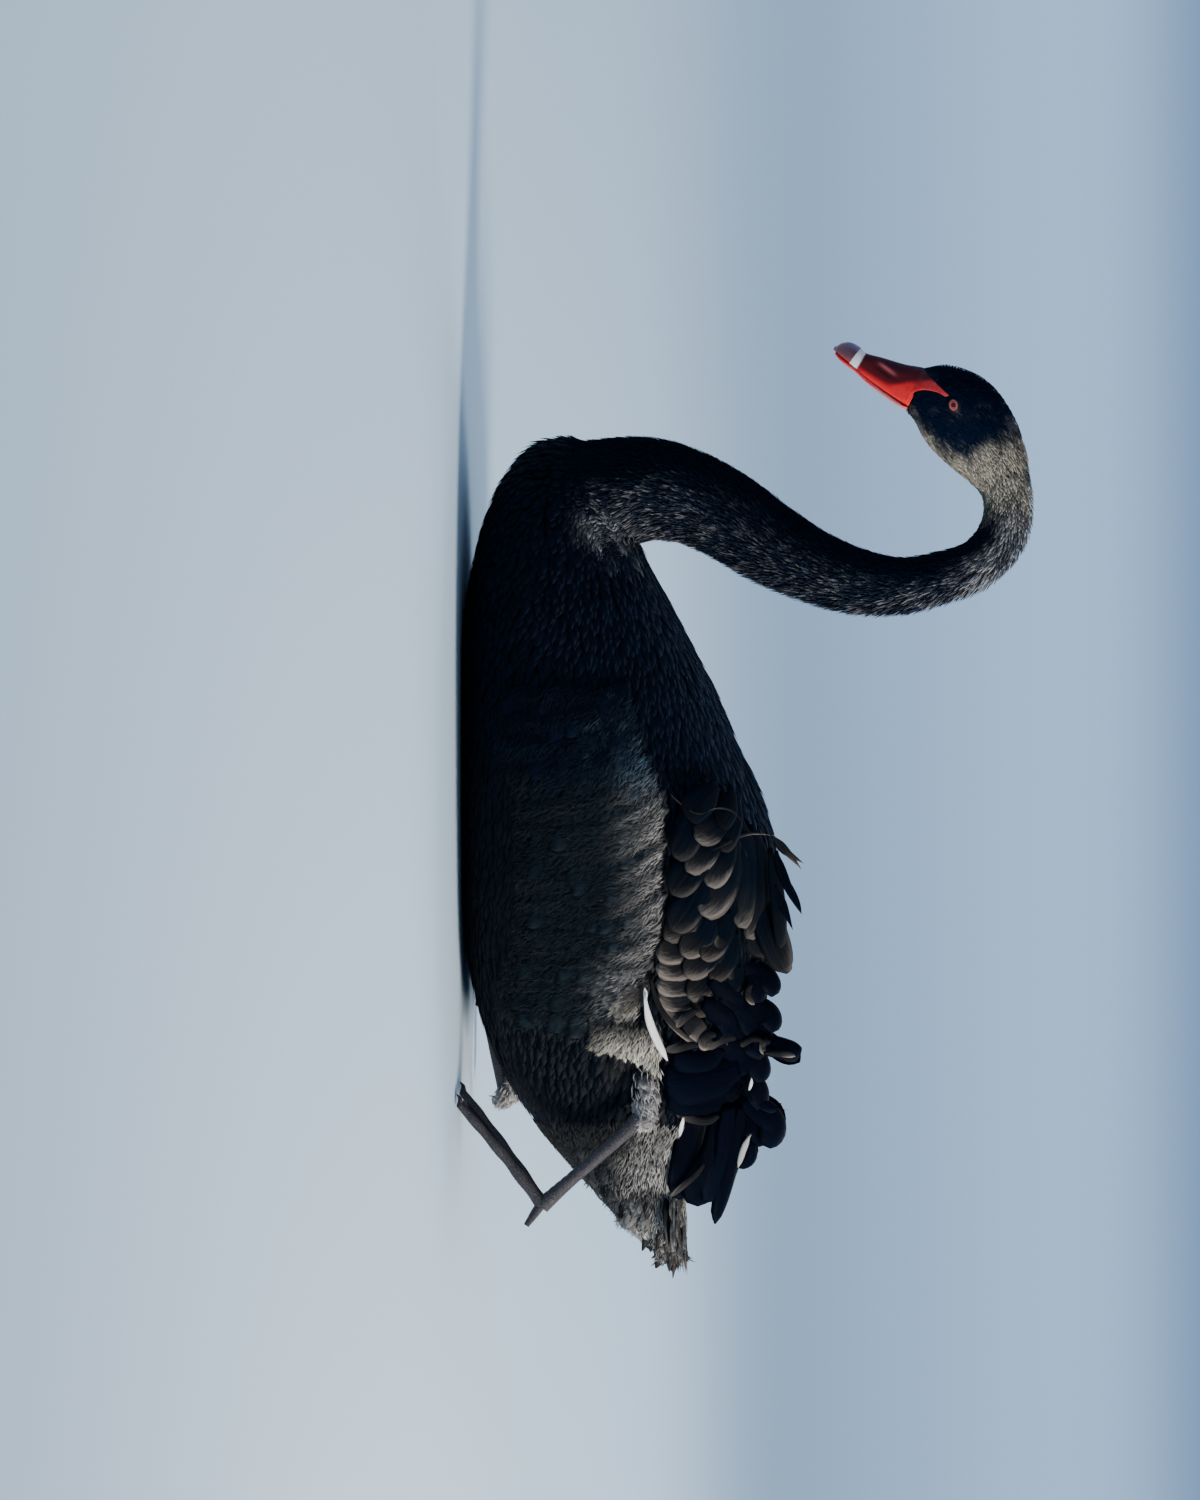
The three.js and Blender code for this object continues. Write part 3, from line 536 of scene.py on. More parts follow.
def colour_of(points, normals):
    """The bird's colour anywhere, blended where the neck joins the body."""
    over = over_joint(points)
    neck = step(-46, -26, over) * step(-206, -220, points[:, 1])
    neck = np.maximum(neck, step(2, 18, over) * (points[:, 1] < -140))
    return mix(body_colour(points, normals), neck_colour(points, normals), neck)


print("wing's lower edge at y 0:", FLANK_TOP([0])[1].round(1))


# %% Colour attribute for the skin
def store_colour(mesh, colours):
    """Keeps a colour for each point in the attribute tint."""
    layer = mesh.attributes.new("tint", "FLOAT_COLOR", "POINT")
    with_alpha = np.hstack([colours, np.ones((len(colours), 1))])
    layer.data.foreach_set("color", with_alpha.astype(np.float32).ravel())


SKIN_SHADE = 0.8  # the skin lies in the coat's shade
skin_tint = colour_of(spots, read_vectors(skin.data, "normal")) * SKIN_SHADE
store_colour(skin.data, skin_tint)
print("skin tint on average", skin_tint.mean(0).round(3))

# %% [markdown]
# ## How a feather is made
# A feather is a thin closed blade: a grid whose copy underneath shares its rim. One such template is bent
# and laid at every root at once with arrays, because modifiers on twenty thousand objects would be far too
# slow. Templates differ only in how many faces they have, so that small feathers stay cheap.

# %% Templates
class Template:
    """Points (across -1..1, along 0..1, face -1..1) and polygons of one small closed form."""

    def __init__(self, bm, along, face):
        bm.verts.ensure_lookup_table()
        co = np.array([v.co for v in bm.verts])
        self.u, self.v, self.face = co[:, 0], (co[:, along] + 1) / 2, co[:, face]
        self.polygons = [[v.index for v in f.verts] for f in bm.faces]
        self.under = np.array([np.mean([self.face[i] for i in p]) < 0 for p in self.polygons])
        self.count = len(co)
        self.triangles = sum(len(p) - 2 for p in self.polygons)
        bm.free()


def blade_mesh(bm, columns, rows):
    """A flat grid and its twin, joined at the rim: z is 1 or -1 on the two faces and 0 at the rim."""
    top = bmesh.ops.create_grid(bm, x_segments=columns, y_segments=rows, size=1.0)
    faces = list({f for v in top["verts"] for f in v.link_faces})
    twin = bmesh.ops.duplicate(bm, geom=faces)["geom"]
    low = [g for g in twin if isinstance(g, bmesh.types.BMVert)]
    bmesh.ops.reverse_faces(bm, faces=[g for g in twin if isinstance(g, bmesh.types.BMFace)])
    rim = []
    for vertices, face in ((top["verts"], 1.0), (low, -1.0)):
        for vertex in vertices:
            inside = max(abs(vertex.co.x), abs(vertex.co.y)) < 0.999
            vertex.co.z = face if inside else 0.0
            if not inside:
                rim.append(vertex)
    both = [*top["verts"], *low]
    bmesh.ops.remove_doubles(bm, verts=rim, dist=1e-4)
    return [v for v in both if v.is_valid]


def blade(columns, rows):
    """A flat closed blade with a face on each side."""
    bm = bmesh.new()
    blade_mesh(bm, columns, rows)
    return Template(bm, 1, 2)


def sliver(sides, rings):
    """A spindle of a few faces, for a barb or a tuft of down."""
    bm = bmesh.new()
    bmesh.ops.create_uvsphere(bm, u_segments=sides, v_segments=rings, radius=1.0)
    return Template(bm, 2, 1)


BARB, TUFT = sliver(3, 2), sliver(3, 3)
SMALL, MEDIUM, LARGE, LONG = blade(2, 3), blade(4, 5), blade(6, 9), blade(8, 16)
print("triangles a feather:", [t.triangles for t in (BARB, TUFT, SMALL, MEDIUM, LARGE, LONG)])

# %% Laying
BEND_STEPS = 24  # straight lengths that stand for the curve of a feather


def bowed(half, u, arc):
    """How far to the side and up a point lies on a feather whose width is bent to an arc."""
    return half * np.sin(u * arc / 2) / (arc / 2), -half * (1 - np.cos(u * arc / 2)) / (arc / 2)


def off_middle(template, thick):
    """How far each point stands off the middle of its blade, less towards the tip."""
    return template.face[None, :] * thick * (0.35 + 0.65 * (1 - template.v))[None, :]


def column(value, count):
    """One value for all feathers, or one for each, as a column."""
    return np.broadcast_to(np.asarray(value, float), (count,))[:, None]


def lay(template, roots, normals, lies, length, width, lift=0.15, bend=-0.1, arc=0.6, thick=0.35,
        outline=None, sweep=0.0):
    """Every feather at its root, bent along its length by lift and bend and across it by arc."""
    n = len(roots)
    values = (length, width, lift, bend, arc, sweep, thick)
    length, width, lift, bend, arc, sweep, thick = (column(value, n) for value in values)
    u, v = template.u[None, :], template.v
    angles = lift + bend * np.linspace(0, 1, BEND_STEPS + 1)[None, :]
    middle_angles = (angles[:, 1:] + angles[:, :-1]) / 2
    start = np.zeros((n, 1))
    ahead = np.concatenate([start, np.cumsum(np.cos(middle_angles), 1)], 1) / BEND_STEPS
    above = np.concatenate([start, np.cumsum(np.sin(middle_angles), 1)], 1) / BEND_STEPS
    place = v * BEND_STEPS
    i = np.minimum(place.astype(int), BEND_STEPS - 1)
    t = (place - i)[None, :]
    x = (ahead[:, i] * (1 - t) + ahead[:, i + 1] * t) * length
    h = (above[:, i] * (1 - t) + above[:, i + 1] * t) * length
    angle = angles[:, i] * (1 - t) + angles[:, i + 1] * t
    across = np.cross(lies, normals)[:, None, :]
    up = normals[:, None, :] * np.cos(angle)[..., None] - lies[:, None, :] * np.sin(angle)[..., None]
    out, drop = bowed(width / 2 * (outline or leaf)(v)[None, :], u, np.maximum(arc, 1e-3))
    points = roots[:, None, :] + lies[:, None, :] * x[..., None] + normals[:, None, :] * h[..., None]
    sideways = across * (out + sweep * length * v[None, :] ** 2)[..., None]
    return points + sideways + up * (drop + off_middle(template, thick))[..., None]


def round_end(v, start, reach):
    """1 up to start, then down to nothing like the end of an oval."""
    return np.sqrt(np.clip(1 - np.clip((v - start) / reach, 0, 1) ** 2.2, 0, 1))


def leaf(v):
    """A rounded feather: narrow at the root, full past the middle, round at the tip."""
    return (0.3 + 0.7 * step(0, 0.45, v)) * round_end(v, 0.62, 0.385)


def pointed(v):
    """A feather that narrows to a point."""
    return (0.35 + 0.65 * step(0, 0.35, v)) * np.clip(1 - np.clip((v - 0.4) / 0.6, 0, 1) ** 1.7, 0.02, 1)


def squared(v):
    """A feather with a blunt, nearly square tip."""
    return (0.4 + 0.6 * step(0, 0.3, v)) * (1 - 0.28 * np.clip((v - 0.8) / 0.2, 0, 1) ** 2.5)


def strand(v):
    """A barb or a tuft, thin at both ends."""
    return np.sin(np.clip(v, 0.0, 1) * math.pi) ** 0.6


LOWEST = 0.3  # no feather reaches lower than this above the floor
PATCH = 0.003  # how large a feather is on the plain unwrap


def between(dark, pale, amount):
    """A tint for each point of each feather, by how far it is from dark to pale."""
    return dark[:, None, :] + (pale - dark)[:, None, :] * amount[..., None]


def graded(tints, template, ramp):
    """A tint for each point of each feather: the feather's own, times a ramp from root to tip."""
    return np.repeat(tints[:, None, :], template.count, 1) * ramp[None, :, None]


class Coat:
    """Collects laid feathers and makes one mesh of them."""

    def __init__(self, name):
        self.name, self.parts = name, []

    def add(self, template, points, tint, unwrap, seeds):
        """points (n, k, 3), tint (n, k, 3) or (n, 3), unwrap (n, 2), seeds (n)."""
        if tint.ndim == 2:
            tint = np.repeat(tint[:, None, :], template.count, 1)
        self.parts.append((template, points, tint, unwrap, seeds))

    def make(self, material):
        """One mesh of all feathers, on the bird."""
        co, tints, vanes, loops, starts, totals, uvs = [], [], [], [], [], [], []
        offset = loop_offset = 0
        for template, points, tint, unwrap, seeds in self.parts:
            n, k = points.shape[:2]
            flat = points.reshape(-1, 3).copy()
            flat[:, 2] = np.maximum(flat[:, 2], LOWEST)
            co.append(flat)
            tints.append(tint.reshape(-1, 3))
            u, v = np.tile(template.u, (n, 1)), np.tile(template.v, (n, 1))
            vanes.append(np.stack([u, v, np.repeat(seeds[:, None], k, 1)], -1).reshape(-1, 3))
            order = np.concatenate([np.array(p) for p in template.polygons])
            sizes = np.array([len(p) for p in template.polygons])
            under = np.repeat(template.under, sizes)
            base = offset + np.arange(n)[:, None] * k
            loops.append((base + order[None, :]).ravel())
            first = np.concatenate([[0], np.cumsum(sizes)[:-1]])
            starts.append((loop_offset + np.arange(n)[:, None] * len(order) + first[None, :]).ravel())
            totals.append(np.tile(sizes, n))
            patch = np.stack([(template.u[order] + 1) / 4 + 0.5 * under, template.v[order]], -1) * PATCH
            uvs.append((unwrap[:, None, :] + patch[None]).reshape(-1, 2))
            offset += n * k
            loop_offset += n * len(order)
        mesh = bpy.data.meshes.new(self.name)
        co = np.concatenate(co) * MM
        loops, starts, totals = map(np.concatenate, (loops, starts, totals))
        mesh.vertices.add(len(co))
        mesh.vertices.foreach_set("co", co.astype(np.float32).ravel())
        mesh.loops.add(len(loops))
        mesh.loops.foreach_set("vertex_index", loops.astype(np.int32))
        mesh.polygons.add(len(starts))
        mesh.polygons.foreach_set("loop_start", starts.astype(np.int32))
        mesh.polygons.foreach_set("loop_total", totals.astype(np.int32))
        mesh.update(calc_edges=True)
        mesh.polygons.foreach_set("use_smooth", np.ones(len(starts), bool))
        store_colour(mesh, np.concatenate(tints))
        vane = mesh.attributes.new("vane", "FLOAT_VECTOR", "POINT")
        vane.data.foreach_set("vector", np.concatenate(vanes).astype(np.float32).ravel())
        uv = mesh.uv_layers.new(name="OFBake")
        uv.data.foreach_set("uv", np.concatenate(uvs).astype(np.float32).ravel())
        made = bpy.data.objects.new(self.name, mesh)
        scene.collection.objects.link(made)
        mesh.materials.append(material)
        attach(made, "root")
        print(f"{self.name}: {int((totals - 2).sum())} triangles")
        return made


# %% [markdown]
# ## Feather material
# A vane is built of fine barbs that slant off its shaft, which a real one shows as silky lines and a soft
# shine. A node group turns the feather's own coordinates, kept in the attribute vane, into barb lines, a
# shaft line, streaks and a fringe. The colour itself comes from the attribute tint.

# %% Node helpers
def math_node(tree, operation, a, b=None, c=None, clamp=False):
    """The output of one sum. Each of a, b and c is a number or an output."""
    inputs = {i: value for i, value in enumerate((a, b, c)) if value is not None}
    return add_node(tree, "Math", inputs, operation=operation, use_clamp=clamp).outputs[0]


def mix_colour(tree, factor, a, b, blend="MIX"):
    """The output of a colour mix. Each of a and b is red, green and blue, or an output."""
    a, b = ((*c, 1) if isinstance(c, tuple) else c for c in (a, b))
    return add_node(tree, "Mix", {0: factor, 6: a, 7: b}, data_type="RGBA", blend_type=blend).outputs[2]


def cloudy(tree, place, scale, detail=2.0):
    """Cloudy noise at a place."""
    return add_node(tree, "TexNoise", {"Vector": place, "Scale": scale, "Detail": detail}).outputs[0]


def object_place(tree):
    """Where on the object a point lies."""
    return add_node(tree, "TexCoord").outputs["Object"]


def shaded(tree, colour, shade):
    """A colour made lighter or darker by a number."""
    grey = add_node(tree, "CombineColor", {i: shade for i in range(3)}).outputs[0]
    return mix_colour(tree, 1.0, colour, grey, "MULTIPLY")


def bumped(tree, height, distance, strength=1.0):
    """Normals that follow a height."""
    return add_node(tree, "Bump", {"Strength": strength, "Distance": distance, "Height": height}).outputs[0]


def tinted_material(name):
    """A material, its tree, its shader and the colour that its mesh keeps."""
    material, tree, shader = new_material(name)
    return material, tree, shader, add_node(tree, "Attribute", attribute_name="tint").outputs["Color"]


# %% Barb lines group
barbs = bpy.data.node_groups.new("barb_lines", "ShaderNodeTree")
for label, value in (("Lines", 40.0), ("Slant", 0.6)):
    socket = barbs.interface.new_socket(name=label, in_out="INPUT", socket_type="NodeSocketFloat")
    socket.default_value = value
for label in ("Lines", "Shaft", "Edge", "Streaks"):
    barbs.interface.new_socket(name=label, in_out="OUTPUT", socket_type="NodeSocketFloat")
inside, outside = barbs.nodes.new("NodeGroupInput").outputs, barbs.nodes.new("NodeGroupOutput")


def barb_math(*values, **settings):
    """A sum in the group."""
    return math_node(barbs, *values, **settings)


vane = add_node(barbs, "Attribute", attribute_name="vane").outputs["Vector"]
vane_x, vane_y, vane_z = add_node(barbs, "SeparateXYZ", {0: vane}).outputs
across = barb_math("ABSOLUTE", vane_x)
slant = barb_math("MULTIPLY_ADD", across, inside["Slant"], barb_math("MULTIPLY", vane_y, -1.0))
uneven = barb_math("MULTIPLY", cloudy(barbs, vane, 3.0, 1.0), 5.0)
phase = barb_math("MULTIPLY_ADD", slant, inside["Lines"], uneven)
wave = barb_math("SINE", barb_math("MULTIPLY", phase, math.tau))
# The fringe is a soft crescent round the tip, widest on the lower side. The third part of vane says on which
# side of the bird the feather is, by its sign, and how strong its fringe is.
lower = barb_math("MULTIPLY", vane_x, barb_math("SIGN", vane_z))
leaning = barb_math("MULTIPLY_ADD", lower, 0.16, vane_y)
tip = barb_math("MULTIPLY_ADD", leaning, 1.9, -0.95, clamp=True)
side_part = barb_math("MULTIPLY", across, barb_math("MULTIPLY_ADD", lower, 0.4, 0.6))
far = barb_math("MULTIPLY", side_part, barb_math("MULTIPLY_ADD", vane_y, 2.2, -0.5, clamp=True))
out = barb_math("SQRT", barb_math("ADD", barb_math("POWER", tip, 2.0), barb_math("POWER", far, 2.0)))
fray = barb_math("SUBTRACT", cloudy(barbs, vane, 11.0, 3.0), 0.5)
frayed = barb_math("MULTIPLY_ADD", fray, 0.55, out)
edge = barb_math("POWER", barb_math("MULTIPLY_ADD", frayed, 2.2, -1.4, clamp=True), 1.5)
# streaks run along the vane
brushed = add_node(barbs, "VectorMath", {0: vane, 1: (7.0, 1.1, 50.0)}, operation="MULTIPLY").outputs[0]
feed(outside, {
    "Lines": barb_math("MULTIPLY_ADD", wave, 0.5, 0.5),
    "Shaft": barb_math("SUBTRACT", 1.0, barb_math("MULTIPLY", across, 14.0), clamp=True),
    "Edge": barb_math("MULTIPLY", edge, barb_math("ABSOLUTE", vane_z)),
    "Streaks": cloudy(barbs, brushed, 1.0),
})
print("barb group nodes:", len(barbs.nodes))

# %% Feather materials
FRINGE, BARB_HEIGHT = 0.85, 0.0004


def feather_material(name, lines=40.0, slant=0.6, roughness=0.5, gloss=0.5, depth=0.35, gain=1.0,
                     fringe=None, streaky=0.0):
    """Tint from the coat, barb lines and streaks from the group, and a fringe colour where asked."""
    material, tree, shader, colour = tinted_material(name)
    group = add_node(tree, "Group", node_tree=barbs)
    feed(group, {"Lines": lines, "Slant": slant})
    if fringe:
        colour = mix_colour(tree, math_node(tree, "MULTIPLY", group.outputs["Edge"], FRINGE), colour, fringe)
    shade = math_node(tree, "MULTIPLY_ADD", group.outputs["Lines"], 0.5 * gain, 1 - 0.25 * gain)
    if streaky:
        streaks = math_node(tree, "MULTIPLY_ADD", group.outputs["Streaks"], 2 * streaky, 1 - streaky)
        shade = math_node(tree, "MULTIPLY", shade, streaks)
    height = math_node(tree, "MULTIPLY_ADD", group.outputs["Shaft"], 1.5, group.outputs["Lines"])
    feed(shader, {
        "Base Color": shaded(tree, colour, shade), "Normal": bumped(tree, height, BARB_HEIGHT, depth),
        "Roughness": roughness, "Specular IOR Level": gloss,
    })
    return material


plush = feather_material("plush_feathers", lines=6, roughness=0.85, gloss=0.02, depth=0.2, gain=0.5)
body_vane = feather_material("body_feathers", lines=14, roughness=0.75, gloss=0.04, depth=0.15, gain=0.4)
print("feather materials ready")

# %% Skin material
skin_paint, tree, shader, tint = tinted_material("skin_under_feathers")
down = cloudy(tree, object_place(tree), 420)
feed(shader, {
    "Base Color": shaded(tree, tint, math_node(tree, "MULTIPLY_ADD", down, 0.8, 0.5)),
    "Normal": bumped(tree, down, 0.001), "Roughness": 0.85, "Specular IOR Level": 0.04,
})
skin.data.materials.append(skin_paint)
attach(skin, "root")
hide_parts("torso", "head", *[f"neck_{i}" for i in range(1, 6)], "thigh_left", "thigh_right")
print("skin material nodes:", len(tree.nodes))

# %% [markdown]
# ## The plain coat
# Small feathers grow in rows and lie backwards, down the neck and along the body. Roots are set in staggered
# rings on the same forms as the skin and dropped onto it, so that they follow its joints. The lie is a
# field: the direction of the neck's line or of the trunk, bent down at the breast and flank.

# %% Roots in rings
rng = np.random.default_rng(11)


def ring_roots(point, places, spacing, jitter):
    """Even roots round each section; returns (place, angle) pairs."""
    found = []
    fan = np.linspace(0, math.tau, 241)
    for k, at in enumerate(places):
        ring = point(np.full(len(fan), at), fan)
        run = np.concatenate([[0], np.cumsum(np.linalg.norm(np.diff(ring, axis=0), axis=1))])
        n = max(6, int(run[-1] / spacing))
        loose = rng.uniform(-jitter, jitter, n) * spacing / run[-1]
        wanted = ((np.arange(n) + 0.5 * (k % 2)) / n + loose) % 1.0
        angles = np.interp(wanted * run[-1], run, fan)
        found.append(np.stack([np.full(n, at), angles], -1))
    return np.concatenate(found)


def drop_on_skin(points, reach=5.0):
    """Nearest skin place and normal for each point, and which are close enough to count."""
    spots, faces, near = np.zeros_like(points), np.zeros_like(points), np.zeros(len(points), bool)
    for i, p in enumerate(points):
        spot, normal, _, distance = skin_tree.find_nearest(Vector(p))
        spots[i], faces[i], near[i] = spot, normal, distance < reach
    return spots, faces, near


def rooted(point, places, spacing, jitter, reach=5.0):
    """Roots in rings, dropped: place and normal, which count, and the ring and angle they come from."""
    found = ring_roots(point, places, spacing, jitter)
    return *drop_on_skin(point(found[:, 0], found[:, 1]), reach), found


def tangent(direction, normals):
    """The part of a direction that lies in the skin."""
    return unit(direction - normals * np.sum(direction * normals, -1, keepdims=True))


def trunk_lie(points, normals):
    """Back along the body, downwards on the breast and a little on the flanks."""
    y = points[:, 1]
    flat = 1 - np.abs(normals[:, 2])
    down = 0.9 * step(-235, -300, y) + 0.22 * flat
    return tangent(np.stack([0 * y, 1 - 0.6 * step(-250, -304, y), -down], -1), normals)


def wobble(lies, normals, amount):
    """The same directions, each swung a little to one side."""
    swing = rng.normal(0, amount, len(lies))[:, None]
    return unit(lies + np.cross(lies, normals) * swing)


def unwrap_of(points, neck_place=None, angle=None):
    """Where a root lies on a plain unwrap of the skin: along the body and round it."""
    if neck_place is not None:
        along = 0.62 + 0.36 * neck_place / HEAD_END
    else:
        along = 0.01 + 0.58 * (points[:, 1] + 310) / 670
        angle = np.arctan2(points[:, 0], points[:, 2] - 95)
    return np.stack([along, 0.01 + 0.97 * (angle % math.tau) / math.tau], -1)


# %% Bare red skin between bill and eye
LORE_CHEEK = [
    (-328.6, 340.5), (-333.6, 345.5), (-338.5, 348.8), (-341.5, 353.5), (-342, 360.6), (-340.3, 368.8),
    (-336.8, 375.5),
]
LORE_BROW = [
    (-351, 337), (-358.2, 349.5), (-359, 356.5), (-354.6, 362), (-348.8, 366.8), (-344.1, 371.8),
    (-337.5, 378.4),
]


def in_lore(points):
    """True on the patch that the bare red skin covers, by counting crossings of its outline."""
    corners = np.array(LORE_CHEEK + LORE_BROW[::-1])
    y, z = points[:, 1], points[:, 2]
    odd = np.zeros(len(points), bool)
    for (y0, z0), (y1, z1) in zip(corners, np.roll(corners, -1, 0)):
        crosses = (z0 > z) != (z1 > z)
        odd ^= crosses & (y < (y1 - y0) * (z - z0) / (z1 - z0 + 1e-9) + y0)
    return odd


print("lore outline:", len(LORE_CHEEK + LORE_BROW), "corners")

# %% Neck and head
HEAD_START = 11.6  # on the neck's line
TINY = 0.02
SOFT = dict(bend=-0.16, arc=0.3, thick=0.28, outline=strand)  # the form of a small soft feather
places = [0.1]
while places[-1] < HEAD_END - 0.05:
    spot = places[-1]
    a, b = neck_frame([spot])[0][0], neck_frame([min(spot + TINY, HEAD_END)])[0][0]
    pace = 2.3 if spot < HEAD_START else 1.55
    places.append(spot + pace * TINY / max(np.linalg.norm(b - a), 1e-3))
low = [p for p in places if p < HEAD_START]
high = [p for p in places if p >= HEAD_START]
neck_groups = (  # rings, spacing, length, width and lift
    ("neck_feathers_low", low, 2.1, 8.2, 2.4, 0.26),
    ("neck_feathers_high", high, 1.6, 4.3, 1.6, 0.17),
)


def neck_skin(place, angle):
    """Where the neck's feathers are rooted."""
    return neck_point(place, angle, -NECK_COAT)


for name, rings, spacing, long, wide, lift in neck_groups:
    coat = Coat(name)
    spots, faces, near, spots_at = rooted(neck_skin, rings, spacing, 0.35)
    from_eye = np.hypot(spots[:, 1] - EYE_Y, spots[:, 2] - EYE_Z)
    keep = near & (from_eye > 4.9) & ~in_lore(spots) & (spots[:, 2] > 60)
    spots, faces, spots_at, from_eye = spots[keep], faces[keep], spots_at[keep], from_eye[keep]
    lies = wobble(tangent(-neck_frame(spots_at[:, 0])[1], faces), faces, 0.16)
    n = len(spots)
    face_size = step(4, 16, from_eye) * step(-352, -338, spots[:, 1] + 0.25 * (spots[:, 2] - 350))
    size = 0.5 + 0.5 * face_size if name == "neck_feathers_high" else np.ones(n)
    fluff = blob(spots, -243, 116, 26, 40) * (faces[:, 1] > -0.2)
    nape = step(-0.2, 0.7, faces @ np.array([0, 0.8, 0.6])) * step(-310, -290, spots[:, 1])
    near_head = 1 - 0.52 * step(8, HEAD_START, spots_at[:, 0]) * (name == "neck_feathers_low")
    long_here = long * size * near_head * (1 + 0.55 * fluff + 0.30 * nape) * rng.uniform(0.8, 1.25, n)
    rise = lift + rng.uniform(-0.05, 0.10, n) + 0.14 * fluff + 0.18 * nape
    tint_here = colour_of(spots, faces) * rng.uniform(0.75, 1.3, n)[:, None]
    loop = nape * step(-318, -298, spots[:, 1]) * step(380, 410, spots[:, 2])
    crown = step(-0.1, 0.6, faces @ np.array([0, -0.5, 0.86])) * step(-285, -300, spots[:, 1])
    off = 2.0 * loop + 1.2 * crown * step(355, 375, spots[:, 2]) - 0.3
    points = lay(TUFT, spots + faces * off[:, None], faces, lies, long_here, wide * (0.6 + 0.4 * size),
                 lift=rise, **SOFT)
    ends = graded(tint_here, TUFT, 0.65 + 0.7 * TUFT.v)
    coat.add(TUFT, points, ends, unwrap_of(spots, spots_at[:, 0], spots_at[:, 1]), rng.random(n))
    coat.make(plush)

# %% Collar where the neck joins the body
def trunk_skin(place, angle):
    """Where the trunk's feathers are rooted."""
    return trunk_point(place, angle, -TRUNK_COAT)


spots, faces, near, _ = rooted(trunk_skin, np.arange(-304, -196, 2.3), 2.5, 0.4, 12)
over = over_joint(spots)
keep = near & (over > -44) & (over < 14) & (spots[:, 2] > 74)
spots, faces, over = spots[keep], faces[keep], over[keep]
n = len(spots)
downwards = tangent(np.tile([0, 0.12, -1.0], (n, 1)), faces)
lies = wobble(unit(mix(trunk_lie(spots, faces), downwards, step(-46, -4, over))), faces, 0.18)
fluff = blob(spots, -238, 112, 22, 30) * (faces[:, 1] > -0.6)
tint_here = colour_of(spots, faces) * rng.uniform(0.75, 1.3, n)[:, None]
points = lay(TUFT, spots - faces * 0.3, faces, lies, (9.5 + 3.5 * fluff) * rng.uniform(0.8, 1.25, n), 2.7,
             lift=0.2 + rng.uniform(-0.05, 0.08, n) + 0.1 * fluff, **SOFT)
ends = graded(tint_here, TUFT, 0.65 + 0.7 * TUFT.v)
coat = Coat("collar_feathers")
coat.add(TUFT, points, ends, unwrap_of(spots), rng.random(n))
coat.make(plush)

# %% Trunk
rows = []
y = -303.0
while y < 330:
    rows.append(y)
    y += 4.6 if y > -285 else 3.4
spots, faces, near, _ = rooted(
    lambda s, a: trunk_point(s, a, -TRUNK_COAT + wing_lift(s, a)), rows, 6.0, 0.35
)
keep = near & (spots[:, 2] > 1.2) & ~is_neck(spots)
spots, faces = spots[keep], faces[keep]
n = len(spots)
lies = wobble(trunk_lie(spots, faces), faces, 0.1)
long_here = (17 + 4 * step(-260, -120, spots[:, 1])) * rng.uniform(0.8, 1.2, n)
tint_here = colour_of(spots, faces) * rng.uniform(0.82, 1.18, n)[:, None]
points = lay(SMALL, spots + faces * 0.3, faces, lies, long_here, 7.5 * rng.uniform(0.8, 1.2, n),
             lift=0.12 + rng.uniform(-0.03, 0.05, n), bend=-0.12, arc=0.35, thick=0.22)
ends = graded(tint_here, SMALL, 0.8 + 0.35 * SMALL.v**2)
half = spots[:, 0] > 0
for name, chosen in (("trunk_feathers_left", half), ("trunk_feathers_right", ~half)):
    coat = Coat(name)
    coat.add(SMALL, points[chosen], ends[chosen], unwrap_of(spots[chosen]), rng.random(chosen.sum()))
    coat.make(body_vane)

# %% [markdown]
# ## Flank and tail plumes
# The flank feathers of a swan hang over the edge of the wing as soft plumes. Their barbs don't hook
# together, so each one ends free, and that makes the flank look like fur. Each plume here is a blade that is
# dark at its root with painted shade, where the plume over it would shade it, with free barbs on its face
# and round its rim, where they grow paler. Fine down in a paler tone lies over the plumes and hides where
# one ends and the next begins.

# %% Plume maker
BLADE_LONG, BLADE_WIDE, BLADE_ARC = 0.94, 0.92, 0.8  # the free barbs reach a little past the blade


